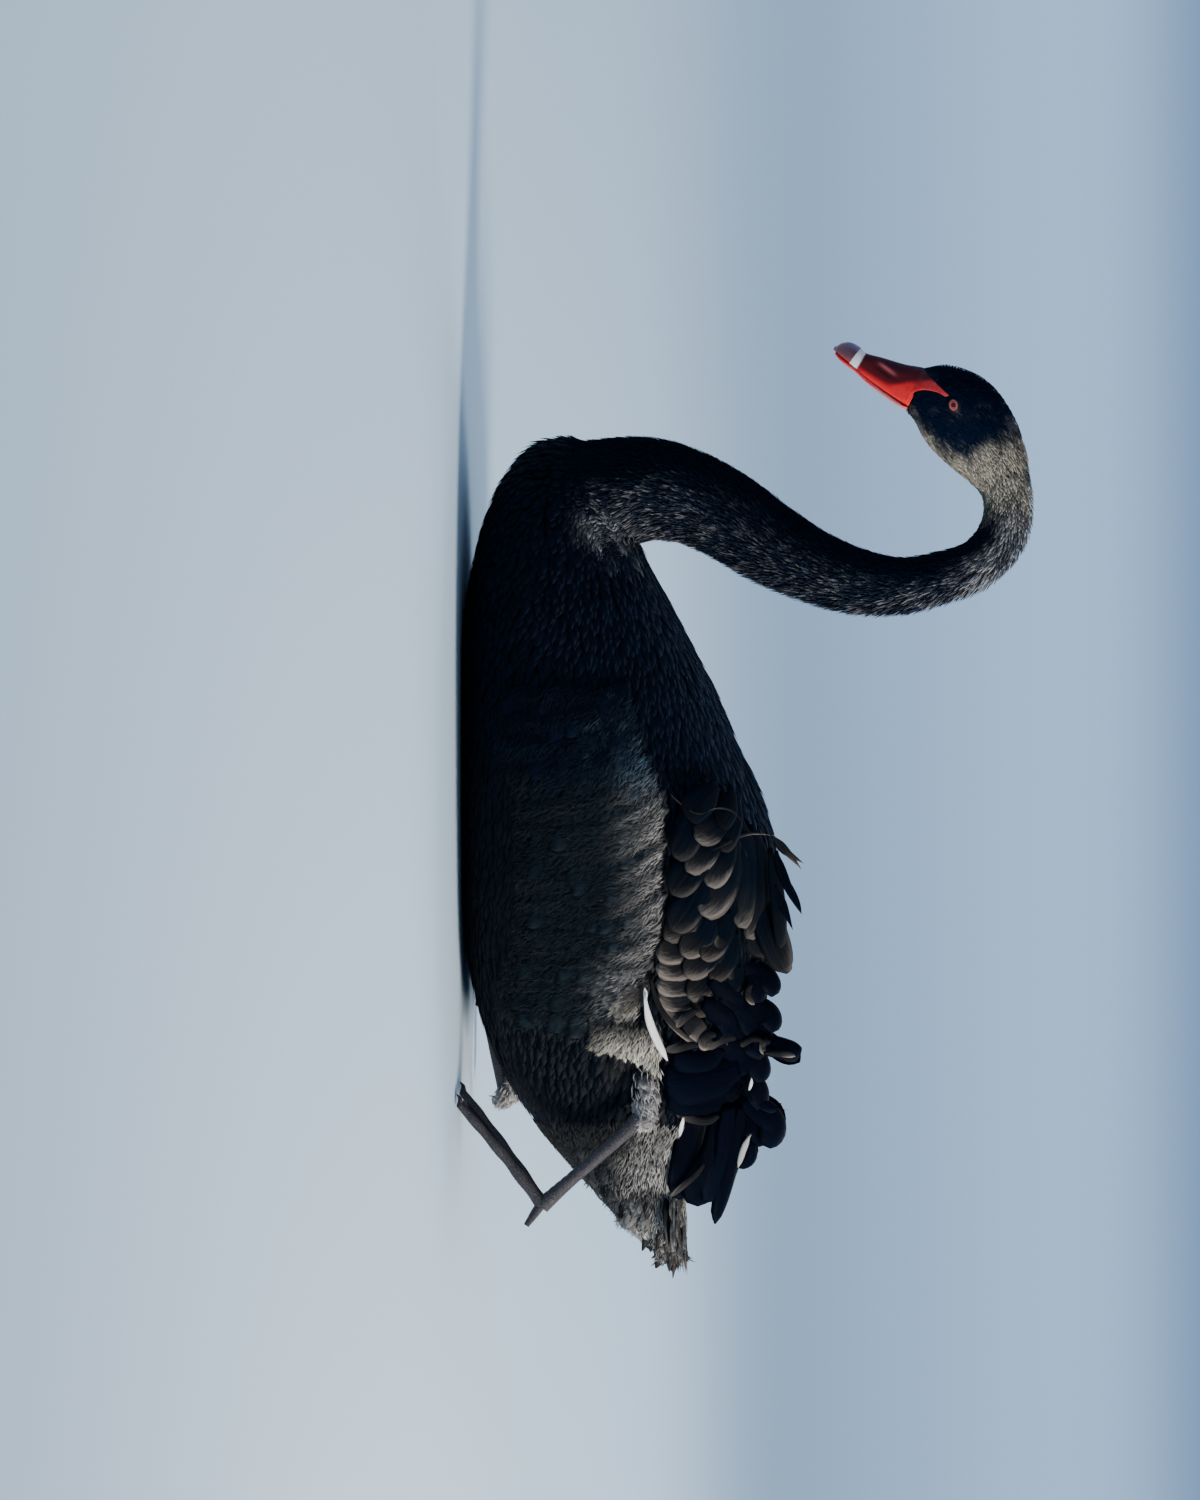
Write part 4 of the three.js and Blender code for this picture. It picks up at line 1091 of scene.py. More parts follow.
def plumes(coat, spots, faces, lies, length, width, dark, pale, barbs_each=110, lift=0.12, bend=-0.2,
           raised=0.6, hair=0.2, light=None):
    """Soft plumes with barbs_each free barbs, from a painted-shade root to pale. light gives how pale each
    place is.
    """
    n, k = len(spots), barbs_each
    length, width, lift = (np.broadcast_to(x, (n,)).astype(float) for x in (length, width, lift))
    base = spots + faces * np.broadcast_to(raised, (n,))[:, None]
    seeds, where = rng.random(n), unwrap_of(spots)
    blade_at = lay(MEDIUM, base, faces, lies, length * BLADE_LONG, width * BLADE_WIDE, lift=lift, bend=bend,
                   arc=BLADE_ARC, thick=0.3)
    # painted shade at the root of each blade, where the plume over it would shade it; paler towards tip and
    # edges
    grow = step(0.35, 0.95, MEDIUM.v) * (0.35 + 0.65 * step(0.2, 1.0, np.abs(MEDIUM.u)))
    grow = np.maximum(grow, step(0.8, 1.0, MEDIUM.v))
    grow = np.broadcast_to(0.55 * grow[None, :], (n, MEDIUM.count))
    if light:
        grow = (0.25 + 0.75 * grow) * light(blade_at.reshape(-1, 3)).reshape(n, -1)
    coat.add(MEDIUM, blade_at, between(dark, pale, grow), where, seeds)

    on_rim = np.arange(k) < 0.5 * k
    v = np.where(on_rim, rng.uniform(0.38, 0.97, (n, k)), rng.uniform(0.08, 0.86, (n, k)))
    outer = np.where(np.arange(k) % 2 == 0, 1.0, -1.0) * rng.uniform(0.62, 0.98, (n, k))
    u = np.where(on_rim, outer, rng.uniform(-0.8, 0.8, (n, k)))
    out, drop = bowed(width[:, None] / 2 * leaf(v) * BLADE_WIDE, u, BLADE_ARC)
    angle = lift[:, None] + bend * v
    x = (np.sin(angle) - np.sin(lift)[:, None]) / bend * length[:, None] * BLADE_LONG
    h = (np.cos(lift)[:, None] - np.cos(angle)) / bend * length[:, None] * BLADE_LONG
    across = np.cross(lies, faces)[:, None, :]
    up = faces[:, None, :] * np.cos(angle)[..., None] - lies[:, None, :] * np.sin(angle)[..., None]
    ahead = lies[:, None, :] * np.cos(angle)[..., None] + faces[:, None, :] * np.sin(angle)[..., None]
    start = base[:, None, :] + lies[:, None, :] * x[..., None] + faces[:, None, :] * h[..., None]
    start = start + across * out[..., None] + up * (0.45 + drop)[..., None]
    splay = np.sign(u) * (0.75 - 0.6 * v) * np.abs(u) ** 0.7 + rng.normal(0, 0.16, (n, k))
    way = ahead * np.cos(splay)[..., None] + across * np.sin(splay)[..., None]
    up = unit(up - way * np.sum(up * way, -1, keepdims=True))
    size = width[:, None] * hair * np.where(on_rim, 1.0, 1.35) * rng.uniform(0.7, 1.3, (n, k))

    def flat(values):
        """One row for each barb."""
        return values.reshape(-1, *values.shape[2:])

    thin = 0.034 * width.repeat(k) * rng.uniform(0.7, 1.3, n * k)
    points = lay(BARB, flat(start), flat(up), flat(way), flat(size), thin, lift=rng.uniform(0.0, 0.2, n * k),
                 bend=rng.uniform(-0.5, 0.0, n * k), arc=0.2, thick=0.16, outline=strand,
                 sweep=rng.uniform(-0.12, 0.12, n * k))
    tone = np.where(on_rim, 0.45 + 0.55 * step(0.5, 0.9, v), 0.14 + 0.42 * step(0.45, 0.95, v))
    tone = flat(tone * rng.uniform(0.65, 1.3, (n, k)))[:, None] * (0.65 + 0.5 * BARB.v[None, :])
    if light:
        tone = tone * light(flat(start))[:, None]
    tints = between(dark.repeat(k, 0), pale.repeat(k, 0), tone)
    coat.add(BARB, points, tints, where.repeat(k, 0), seeds.repeat(k))


def down(coat, spots, faces, lies, light, relief, dark, pale):
    """Loose down over the plumes, so fine that single feathers can't be told apart."""
    n = len(spots)
    shape = dict(lift=0.16 + rng.uniform(-0.06, 0.1, n), bend=-0.3, arc=0.2, thick=0.2, outline=strand)
    length, width = 8.0 * rng.uniform(0.7, 1.4, n), 0.85 * rng.uniform(0.7, 1.3, n)
    points = lay(BARB, spots + faces * relief[:, None], faces, lies, length, width, **shape)
    shade = light[:, None] * (0.45 + 0.75 * BARB.v[None, :])
    coat.add(BARB, points, between(dark, pale, shade), unwrap_of(spots), rng.random(n))


soft_barbs = feather_material("soft_barbs", lines=5, roughness=0.85, gloss=0.04, depth=0.1, gain=0.3)
print("plume maker ready")


# %% Flank
def sloping(slope, faces):
    """Ways over the skin that run backwards and up by an angle each."""
    return tangent(np.stack([0 * slope, np.cos(slope), np.sin(slope)], -1), faces)


def flank_spots(side, drops, pace, jitter):
    """Places in rows under the wing's edge, with the way their feathers hang there."""
    found = []
    for row, drop in enumerate(drops):
        for y in np.arange(-112 + 0.5 * pace * (row % 2), 178, pace):
            y = y + rng.uniform(-jitter, jitter)
            z = FLANK_TOP([y])[1][0] - drop + rng.uniform(-jitter, jitter)
            if z > 30 and not (side > 0 and y > 142 and z < 157):
                found.append([*np.concatenate(side_spot(side, y, z)), row])
    found = np.array(found)
    spots, faces, rows = found[:, :3], found[:, 3:6], found[:, 6]
    y = spots[:, 1]
    slopes = -0.6 - 0.4 * step(-90, 10, y) + 0.10 * step(120, 160, y) + 0.40 * mottle(spots, 16.0, 8.0)
    return spots, faces, rows, sloping(slopes, faces)


def seen_spots(side, places, depth):
    """Places on the skin, with their normals, that lie at places of the side view."""
    found = [side_spot(side, *as_seen(*at, depth)) for at in places]
    return np.array([spot for spot, _ in found]), np.array([face for _, face in found])


def flank_tints(spots, dark, pale_front):
    """The dark root and the pale end of each feather, both bluer in front."""
    front = step(-20, -58, spots[:, 1])
    dark = mix(np.tile(dark, (len(spots), 1)), 1.2 * INK, front)
    return dark, mix(np.tile([0.36, 0.335, 0.31], (len(spots), 1)), np.array(pale_front), front)


LAST_LOBES = [(112, 144), (118, 140), (147, 142), (149, 136), (151, 130), (152, 123), (150, 115)]
LAST_SLOPES = np.array([-0.75, -0.8, 0.12, 0.05, -0.1, -0.3, -0.6])
LAST_TONES = np.array([0.9, 0.9, 1.3, 2.0, 2.2, 1.4, 1.1])[:, None]
LAST_RAISED = np.array([4.4, 4.0, 6.5, 6.0, 5.5, 5.0, 4.6])
for side in (1, -1):
    name = "left" if side > 0 else "right"
    spots, faces, rows, lies = flank_spots(side, (4, 13, 23, 34, 46, 59, 74), 13.0, 3.5)
    n = len(spots)
    dark, pale = flank_tints(spots, [0.0045, 0.0105, 0.0165], [0.10, 0.155, 0.20])
    size = rng.uniform(0.9, 1.15, n)
    coat = Coat(f"flank_plumes_{name}")
    plumes(coat, spots, faces, lies, 34 * size, 19 * size, dark, pale, barbs_each=60,
           lift=0.10 + rng.uniform(-0.02, 0.03, n), bend=-0.2, raised=1.4 + 0.2 * (6 - rows), hair=0.27,
           light=flank_light)
    if side > 0:  # the last lobes before the heel
        spots, faces = seen_spots(side, LAST_LOBES, 115)
        dark = np.tile([0.022, 0.020, 0.020], (len(spots), 1))
        plumes(coat, spots, faces, sloping(LAST_SLOPES, faces), [40, 40, 36, 36, 30, 26, 28],
               [20, 20, 16, 16, 15, 15, 16], dark, np.array([[0.36, 0.335, 0.285]]) * LAST_TONES,
               barbs_each=420, raised=LAST_RAISED, hair=0.25)
    coat.make(soft_barbs)

    spots, faces, _, lies = flank_spots(side, np.arange(5, 112, 1.8), 1.8, 1.0)
    lies = wobble(lies, faces, 0.28)
    light = flank_light(spots + lies * 7) * rng.uniform(0.8, 1.25, len(spots))
    dark, pale = flank_tints(spots, [0.0042, 0.0110, 0.0175], [0.15, 0.235, 0.30])
    coat = Coat(f"flank_down_{name}")
    down(coat, spots, faces, lies, light, 4.8 + 1.3 * flank_folds(spots), dark, pale)
    if side > 0:  # a soft pale cover on the last lobes
        grid = np.array([(y, z) for y in np.arange(146, 190, 1.5) for z in np.arange(98, 148, 1.5)])
        grid = grid + rng.uniform(-0.8, 0.8, grid.shape)
        border = 166 + np.clip(grid[:, 1] - 122, 0, 30) * 0.85
        grid = grid[(grid[:, 0] < border) & (grid[:, 1] > 100 - 0.2 * (grid[:, 0] - 150))]
        spots, faces = seen_spots(side, grid, 112)
        n = len(spots)
        lies = wobble(sloping(-0.35 + 0.012 * (grid[:, 1] - 122), faces), faces, 0.3)
        light = (0.10 + 0.75 * step(148, 170, grid[:, 0])) * (0.9 + 0.6 * mottle(spots, 7.0))
        light = light * rng.uniform(0.75, 1.2, n) * step(96, 112, grid[:, 1])
        relief = np.full(n, 8.5) - 3.0 * step(150, 146, grid[:, 0])
        dark, pale = np.tile([0.03, 0.029, 0.028], (n, 1)), np.tile([0.74, 0.69, 0.59], (n, 1))
        down(coat, spots, faces, lies, light, relief, dark, pale)
    coat.make(soft_barbs)


# %% Rump and undertail
def rump_roots(places, spacing, jitter, lowest, swing):
    """Roots on the rump: place, normal and lie."""
    spots, faces, near, _ = rooted(trunk_skin, places, spacing, jitter, 8)
    keep = near & (spots[:, 2] > lowest)
    spots, faces = spots[keep], faces[keep]
    return spots, faces, wobble(trunk_lie(spots, faces), faces, swing)


def rump_light(points):
    """Mottled, pale on the sides of the rump, with painted shade in the hollow before the heel and low down.
    """
    y, z = points[:, 1], points[:, 2] - np.abs(points[:, 0]) * SLOPE
    # painted shade low down towards the floor and in the hollow under the rump before the heel
    light = (0.08 + 0.66 * step(110, 140, z)) * (1 - 0.97 * blob(points, 204, 124, 28, 16))
    # the first spot on this line is painted shade beside the heel
    light = light * (1 - 0.40 * blob(points, 236, 135, 9, 30)) * (1 - 0.78 * blob(points, 285, 143, 7.5, 24))
    light = light * (1 - 0.45 * step(158, 168, z) * step(280, 300, y)) * (1 - 0.3 * step(318, 340, y))
    ragged = y + 9 * mottle(points, 9.0, 3.0)
    # painted shade low down in front of the rump; high up in front the dark back begins
    light = light * (1 - 0.9 * step(264, 232, ragged) * np.maximum(step(138, 116, z), step(166, 178, z)))
    light = light + 0.45 * np.exp(-(((y - 0.66 * (z - 124) - 314) / 7) ** 2)) * step(114, 126, z)
    return np.clip(light * (0.92 + 0.7 * mottle(points, 12.0, 7.0) + 0.3 * mottle(points, 4.5)), 0.03, 1.4)


spots, faces, lies = rump_roots(np.arange(222, 331, 7.2), 10.5, 0.3, 40, 0.22)
n = len(spots)
dark, pale = np.tile([0.0200, 0.0220, 0.0250], (n, 1)), np.tile([0.50, 0.48, 0.45], (n, 1))
coat = Coat("rump_plumes")
short = 1 - 0.42 * step(280, 322, spots[:, 1]) * step(136, 152, spots[:, 2])
plumes(coat, spots, faces, lies, 25 * short * rng.uniform(0.85, 1.15, n), 15 * rng.uniform(0.85, 1.15, n),
       dark, pale, barbs_each=66, lift=0.18, bend=-0.3, raised=0.5, hair=0.34, light=rump_light)
coat.make(soft_barbs)
spots, faces, lies = rump_roots(np.arange(222, 329, 1.9), 1.9, 0.4, 50, 0.34)
n = len(spots)
light = rump_light(spots) * rng.uniform(0.75, 1.3, n)
dark, pale = np.tile([0.0100, 0.0120, 0.0150], (n, 1)), np.tile([0.56, 0.54, 0.50], (n, 1))
coat = Coat("rump_down")
relief = 3.4 + 1.6 * mottle(spots, 10.0) + 2.4 * step(286, 308, spots[:, 1]) * step(156, 144, spots[:, 2])
down(coat, spots, faces, lies, light, relief, dark, pale)
coat.make(soft_barbs)


# %% Thighs
def thigh_roots(line, side, count, jitter, lowest, swing):
    """Roots round a thigh: place, normal, lie and how far down. The left heel stays bare."""
    share = np.repeat(np.linspace(0.05, 0.97, count), count)
    around = np.tile(np.arange(count) / count * math.tau, count) + rng.uniform(-jitter, jitter, count**2)
    spots, faces, near = drop_on_skin(limb_point(line, share, around, -1), 7)
    near &= (spots[:, 2] > lowest - 14 * (spots[:, 1] > 214)) | (side < 0)
    spots, faces, share = spots[near], faces[near], share[near]
    ahead = unit(np.array(line[-1][:3]) - np.array(line[0][:3])) + np.array([0, 0.25, -0.1])
    lies = wobble(tangent(np.tile(ahead, (len(spots), 1)), faces), faces, swing)
    return spots, faces, lies, share


coat = Coat("thigh_plumes")
for side, line in ((1, LEFT_THIGH), (-1, RIGHT_THIGH)):
    spots, faces, lies, share = thigh_roots(line, side, 12, 0.2, 139, 0.25)
    n = len(spots)
    dark = np.tile([0.050, 0.049, 0.050], (n, 1))
    pale = np.tile([0.72, 0.69, 0.67], (n, 1)) * rng.uniform(0.65, 1.15, (n, 1))
    plumes(coat, spots, faces, lies, 17 - 7 * share, 11 - 3 * share, dark, pale, barbs_each=44, lift=0.22,
           bend=-0.35, raised=0.4, hair=0.32)
    spots, faces, lies, _ = thigh_roots(line, side, 26, 0.1, 137, 0.5)
    n = len(spots)
    light = rng.uniform(0.6, 1.3, n) * (0.8 + 0.6 * mottle(spots, 6.0))
    pale = np.tile([0.54, 0.52, 0.52], (n, 1))
    down(coat, spots, faces, lies, light, np.full(n, 1.8), 0.25 * pale, pale)
coat.make(soft_barbs)

# %% [markdown]
# ## The folded wing
# On the wing the feathers lie in tiers. Most have their pale fringe along the upper and rear edge, which
# faces the key lamp, so the fringe is partly their own colour and partly painted highlight, and the tiers
# read as scales. Each follows a curve through four places of its side view, so that the outline is the one
# that the bird shows. The front ones lie over those behind them, like tiles.

# %% Feathers along a curve
def lay_path(template, paths, faces, width, arc, thick, outline):
    """Feathers along curves through four points each, paths (n, 4, 3), with their faces (n, 3) outward."""
    width, arc, thick = (column(x, len(paths)) for x in (width, arc, thick))
    fit = np.linalg.inv(np.vander(np.array([0, 1 / 3, 2 / 3, 1]), 4, increasing=True))
    cubic = np.einsum("kj,njc->nkc", fit, paths)
    u, v = template.u[None, :], template.v
    middle = np.einsum("vk,nkc->nvc", np.vander(v, 4, increasing=True), cubic)
    slope = np.stack([0 * v, 1 + 0 * v, 2 * v, 3 * v**2], -1)
    along = unit(np.einsum("vk,nkc->nvc", slope, cubic))
    up = np.broadcast_to(faces[:, None, :], along.shape)
    up = unit(up - along * np.sum(up * along, -1, keepdims=True))
    out, drop = bowed(width / 2 * outline(v)[None, :], u, arc)
    rise = drop + off_middle(template, thick)
    return middle + np.cross(along, up) * out[..., None] + up * rise[..., None]


def rounded(v):
    """Full width nearly to the end, which is a half circle."""
    return (0.5 + 0.5 * step(0, 0.3, v)) * round_end(v, 0.72, 0.282)


def blunt(v):
    """Between a leaf and a feather with a round end."""
    return 0.5 * leaf(v) + 0.5 * rounded(v)


ROUGH_DEPTH = 90


def wing_paths(side, rows):
    """Side view curves as points on the wing. Each row ends with how far root and tip stand out."""
    rows = np.array(rows, float)
    paths = np.zeros((len(rows), 4, 3))
    for i, row in enumerate(rows):
        for k in range(4):
            y, z = row[2 * k], row[2 * k + 1]
            out = row[-2] + (row[-1] - row[-2]) * k / 3
            depth = ROUGH_DEPTH
            for _ in range(2):  # the second time from the true depth
                seen_y, seen_z = as_seen(y, z, depth)
                seen_z -= 1.7 * SLOPE * abs(depth) * (side < 0)  # the far wing hides behind the near one
                crown = trunk_at(seen_y)[1][0] + wing_lift(seen_y, 0.0)[0] - 16
                surface = abs(side_spot(side, seen_y, min(seen_z, crown))[0][0])
                depth = surface - 0.3 * max(0, seen_z - crown) + out
            paths[i, k] = side * depth, seen_y, seen_z
    return paths


def vane_tint(template, n, dark, brown, reach):
    """Dark at the root and brown towards the tip of each blade."""
    shade = rng.uniform(0.85, 1.15, (n, 1))
    dark, brown = np.array(dark) * shade, np.array(brown) * shade
    return between(dark, brown, step(reach, 1.0, template.v)[None, :])


# %% Wing feather materials
covert_vane = feather_material("covert_feathers", lines=34, roughness=0.75, gloss=0.02, depth=0.3, gain=0.6,
                               fringe=(0.22, 0.188, 0.162), streaky=0.9)
curl_vane = feather_material("curled_feathers", lines=46, roughness=0.62, gloss=0.02, depth=0.4, gain=0.8,
                             fringe=(0.006, 0.009, 0.015), streaky=0.7)
brown_curl = feather_material("brown_edged_feathers", lines=44, roughness=0.65, gloss=0.06, depth=0.4,
                              gain=0.6, fringe=(0.23, 0.195, 0.170), streaky=0.8)
scapular_vane = feather_material("scapular_feathers", lines=34, roughness=0.75, gloss=0.02, depth=0.3,
                                 gain=0.6, fringe=(0.125, 0.110, 0.100), streaky=0.9)
white_vane = feather_material("white_feathers", lines=70, roughness=0.55, gloss=0.3, depth=0.3, gain=0.15)
print("materials so far:", len(bpy.data.materials))

# %% Shoulder feathers and coverts
# four places (y, z) from root to tip, width, then how pale the end is
SCAPULARS = [
    (-36, 196, -26, 189, -18, 180, -11, 172, 26, 0.0), (-30, 210, -20, 207, -12, 203, -5, 197, 22, 0.0),
    (-24, 205, -12, 201, -3, 193, 6, 179, 28, 0.75), (-26, 212, -12, 211, 2, 207, 16, 200, 20, 0.1),
    (-22, 182, -8, 178, 8, 172, 20, 162, 26, 0.15), (-12, 198, 2, 193, 17, 186, 31, 172, 28, 0.8),
    (-6, 206, 11, 203, 27, 198, 42, 188, 30, 1.0), (8, 184, 22, 180, 36, 172, 50, 161, 28, 0.25),
    (-2, 205, 22, 204, 44, 198, 64, 183, 44, 0.85), (34, 184, 49, 180, 64, 172, 78, 161, 28, 0.25),
    (-8, 213, 20, 220, 48, 221, 74, 212, 42, 0.75), (-4, 222, 26, 231, 56, 232, 83, 219, 38, 0.7),
    (18, 208, 44, 220, 72, 229, 100, 236, 42, 0.45), (20, 216, 48, 230, 80, 242, 111, 253, 36, 0.5),
    (14, 238, 40, 243, 66, 246, 94, 247, 18, 0.1),
]
COVERTS = [
    (62, 205, 76, 201, 88, 195, 99, 184, 26, 0.3), (78, 211, 92, 207, 104, 201, 116, 191, 26, 0.15),
    (94, 213, 108, 211, 120, 206, 131, 196, 26, 0.1), (58, 192, 72, 188, 85, 181, 96, 168, 28, 0.45),
    (76, 197, 90, 192, 102, 184, 113, 171, 28, 0.5), (92, 197, 106, 193, 119, 186, 129, 173, 28, 0.35),
    (108, 196, 120, 193, 132, 188, 142, 178, 26, 0.15), (46, 180, 60, 176, 73, 169, 84, 155, 26, 0.35),
    (62, 182, 78, 177, 91, 166, 95, 149, 28, 0.55), (72, 184, 89, 179, 104, 168, 106, 149, 28, 0.75),
    (86, 187, 103, 182, 118, 170, 118, 149, 28, 0.75), (100, 187, 117, 183, 131, 171, 127, 150, 27, 0.7),
    (112, 186, 128, 183, 141, 173, 134, 153, 24, 0.65),
]
MESSY = [
    (52, 210, 66, 208, 80, 203, 90, 195, 18, 0.3), (99, 233, 103, 227, 107, 224, 113, 226, 3.4, 1.0),
    (111, 219, 119, 221, 126, 218, 132, 212, 3.2, 1.0), (110, 213, 118, 216, 125, 213, 130, 207, 3, 0.9),
    (78, 208, 88, 205, 96, 199, 101, 193, 14, 0.5), (96, 200, 107, 200, 118, 197, 127, 190, 16, 0.3),
    (86, 212, 96, 214, 106, 212, 116, 206, 16, 0.2),
]


def on_wing(side, table, raised, spread):
    """Wing feathers lying on the skin along their side view curves."""
    table = np.array(table, float)
    n = len(table)
    lift = raised + (0.6 if n == len(SCAPULARS) else 0.36) * np.arange(n)[::-1]
    paths = wing_paths(side, np.hstack([table[:, :8], (lift - 3)[:, None], (lift + 1.2)[:, None]]))
    if side < 0:  # the far side is like, but not the same
        paths[:, 1:] += rng.normal(0, spread, (n, 3, 3)) * [0.3, 1, 1]
    outward = np.array([side_spot(side, *row[2:4])[1] for row in table])
    return paths, unit(outward + [side * 0.3, 0, 0]), table


# name, tables with how far they stand out, material, colour of the face, how much paler its end gets
TIERS = (
    ("wing_coverts", ((COVERTS, 2.8), (MESSY, 4.6)), covert_vane,
     np.array([0.0070, 0.0072, 0.0078]), np.array([0.012, 0.0100, 0.0086])),
    ("wing_scapulars", ((SCAPULARS, 6.0),), scapular_vane,
     np.array([0.0038, 0.0050, 0.0072]), np.array([0.012, 0.0112, 0.0108])),
)
COVERT_ROOT = (0.0014, 0.0040, 0.0085)
for side in (1, -1):
    for label, tables, material, face, paler in TIERS:
        coat = Coat(f"{label}_{'left' if side > 0 else 'right'}")
        for rows, raised in tables:
            paths, outward, table = on_wing(side, rows, raised, 1.4)
            arc, outline = (table[:, 8] / 40, blunt) if rows is SCAPULARS else (table[:, 8] / 55, leaf)
            points = lay_path(LONG, paths, outward, table[:, 8], arc, 0.3, outline)
            shades = vane_tint(LONG, len(paths), COVERT_ROOT, face + paler * table[:, 9:10], 0.5)
            # the pale fringe faces the key lamp: partly the feathers' own pale edge and partly painted
            # highlight
            lit_fringe_side = side if rows is MESSY else -side  # most are palest on the upper and rear side
            coat.add(LONG, points, shades, unwrap_of(paths[:, 0]), lit_fringe_side * table[:, 9])
        coat.make(material)

# %% [markdown]
# ## Curled inner feathers
# The curled feathers stand up from the back and bend over like a wave. They follow curves too, and an arc
# across gives them their spoon or tube shape.

# %% Curls
# four places (y, z), width, arc across, then how far it stands out at the root and at the tip
CURLS = [
    (104, 214, 109, 228, 117, 238, 130, 239, 21, 1.3, 6, 8),
    (134, 212, 139, 229, 146, 239, 158, 239, 22, 1.5, 6, 9),
    (150, 206, 158, 218, 166, 227, 179, 230, 25, 1.5, 8, 12),
    (168, 210, 175, 224, 184, 230, 197, 229, 23, 1.5, 9, 13),
    (188, 208, 195, 222, 204, 229.5, 218, 228, 23, 1.5, 10, 14),
    (160, 196, 168, 208, 178, 215, 192, 214, 24, 1.4, 12, 16),
    (213, 214, 219, 234, 231, 242, 244, 231, 27, 1.7, 12, 14),
    (220, 208, 228, 222, 236, 228, 243, 224, 22, 1.2, 9, 10),
    (240, 210, 245, 221, 254, 224, 263, 213, 11, 1.6, 11, 13),
    (146, 226, 152, 233, 157, 234, 164, 230, 16, 1.2, 6, 7),
    (128, 200, 137, 212, 146, 221, 160, 219, 26, 1.3, 9, 12),
    (134, 186, 141, 198, 149, 205, 161, 203, 22, 1.4, 11, 14),
    (116, 192, 124, 203, 132, 210, 144, 210, 22, 1.3, 8, 11),
    (112, 222, 118, 226, 125, 229, 135, 227, 18, 1.3, 9, 11),
    (196, 205, 204, 210, 212, 213, 223, 213, 18, 1.0, 8, 9),
    (98, 214, 106, 219, 113, 221, 122, 221, 15, 1.0, 4, 5),
    (198, 216, 208, 226, 214, 234, 219, 243, 9, 1.2, 12, 14),
]
BIG = [
    (184, 214, 189, 197, 194, 178, 196, 155, 42, 1.1, 17, 11),
    (203, 212, 208, 196, 211, 178, 209, 158, 26, 1.2, 15, 10),
    (214, 215, 242, 213, 274, 205, 307, 195, 14, 1.6, 13, 12),
    (212, 205, 240, 203, 268, 192, 289, 172, 33, 1.2, 11, 9),
    (214, 206, 240, 208, 264, 203, 290, 186, 26, 1.2, 13, 11),
    (205, 186, 232, 178, 262, 173, 288, 166, 27, 1.1, 7, 5),
    (170, 200, 178, 190, 180, 176, 178, 162, 20, 1.2, 12, 9),
    (224, 206, 232, 212, 240, 214, 262, 207, 16, 1.2, 12, 12),
]
DARK = [
    (16, 243, 31, 247, 48, 254, 66, 263, 9, 1.0, 6, 6), (42, 242, 55, 247, 65, 251, 78, 256, 8, 0.9, 6, 6),
    (214, 240, 216, 244, 217.5, 247, 218, 252, 1.3, 0.8, 12, 12),
]
TUBES = [(164, 224, 167, 238, 170, 250, 174.5, 262, 23, 2.5, 13, 13)]
BROWN = [
    (150, 170, 152, 178, 156, 182, 168, 184, 20, 0.9, 7, 8),
    (114, 145, 136, 151, 153, 163, 169, 182, 5, 0.9, 8, 8),
    (222, 198, 226, 188, 224, 176, 219, 164, 9, 1.6, 13, 10),
    (260, 187, 269, 180, 277, 171, 286, 160, 5, 1.1, 12, 9),
    (163, 212, 161, 204, 164, 196, 170, 188, 12, 1.8, 12, 11),
    (167, 234, 163, 224, 168, 214, 166, 204, 7, 2.2, 14, 13),
    (168, 182, 168, 174, 170, 166, 171, 156, 8, 1.6, 10, 9),
    (161, 196, 160, 190, 165, 186, 171, 190, 9, 1.6, 13, 12),
    (140, 182, 143, 176, 148, 170, 154, 165, 7, 1.4, 9, 8),
    (166, 238, 165, 235, 168, 233, 175, 233, 7, 1.8, 15, 15),
    (173.5, 233, 174, 242, 174.5, 250, 176, 258, 5.5, 1.6, 18, 18),
    (120, 224, 126, 221, 131, 222, 136, 226, 6, 1.4, 14, 14),
]
LOOSE = [
    (16, 192, 8, 208, 3, 222, 5, 243, 2.8, 1.0, 16, 9), (4, 239, 12, 247, 20, 254, 31, 263, 7, 0.8, 8, 8),
    (-8, 215, -15, 208, -17, 199, -15, 190, 1.8, 0.8, 18, 18),
    (-15, 191, -13, 181, -18, 171, -28, 160, 1.6, 0.8, 18, 12),
]

WHITE = [
    (126, 140, 146, 143.2, 162, 149, 180, 158, 7.0, 0.6, 13, 13),
    (123, 140, 126, 140.6, 129, 140.8, 133, 140.6, 3.4, 0.6, 12, 12),
    (193, 223.5, 196, 223.6, 199, 223, 203, 221.5, 2.7, 0.8, 17, 17),
    (224, 170.5, 228, 169.7, 233, 168.6, 239, 167.4, 3.6, 0.7, 17, 19),
    (237, 223, 244, 219.5, 252, 216.5, 263, 213, 5.5, 1.0, 14, 14),
]


def white_flight(side, name):
    """The white flight feathers, of which slivers and two spots show between the dark ones."""
    coat = Coat(f"white_flight_{name}")
    paths, table = wing_paths(side, WHITE), np.array(WHITE)
    outward = np.tile([side * 0.94, 0, 0.34], (len(WHITE), 1))
    points = lay_path(LARGE, paths, outward, table[:, 8], table[:, 9], 0.5, leaf)
    tint_here = np.array([0.80, 0.79, 0.75]) * np.array([1, 1, 1, 1, 0.45])[:, None]
    coat.add(LARGE, points, tint_here, unwrap_of(paths[:, 0]), np.ones(len(WHITE)))
    made = coat.make(white_vane)
    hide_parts(f"primaries_{name}")


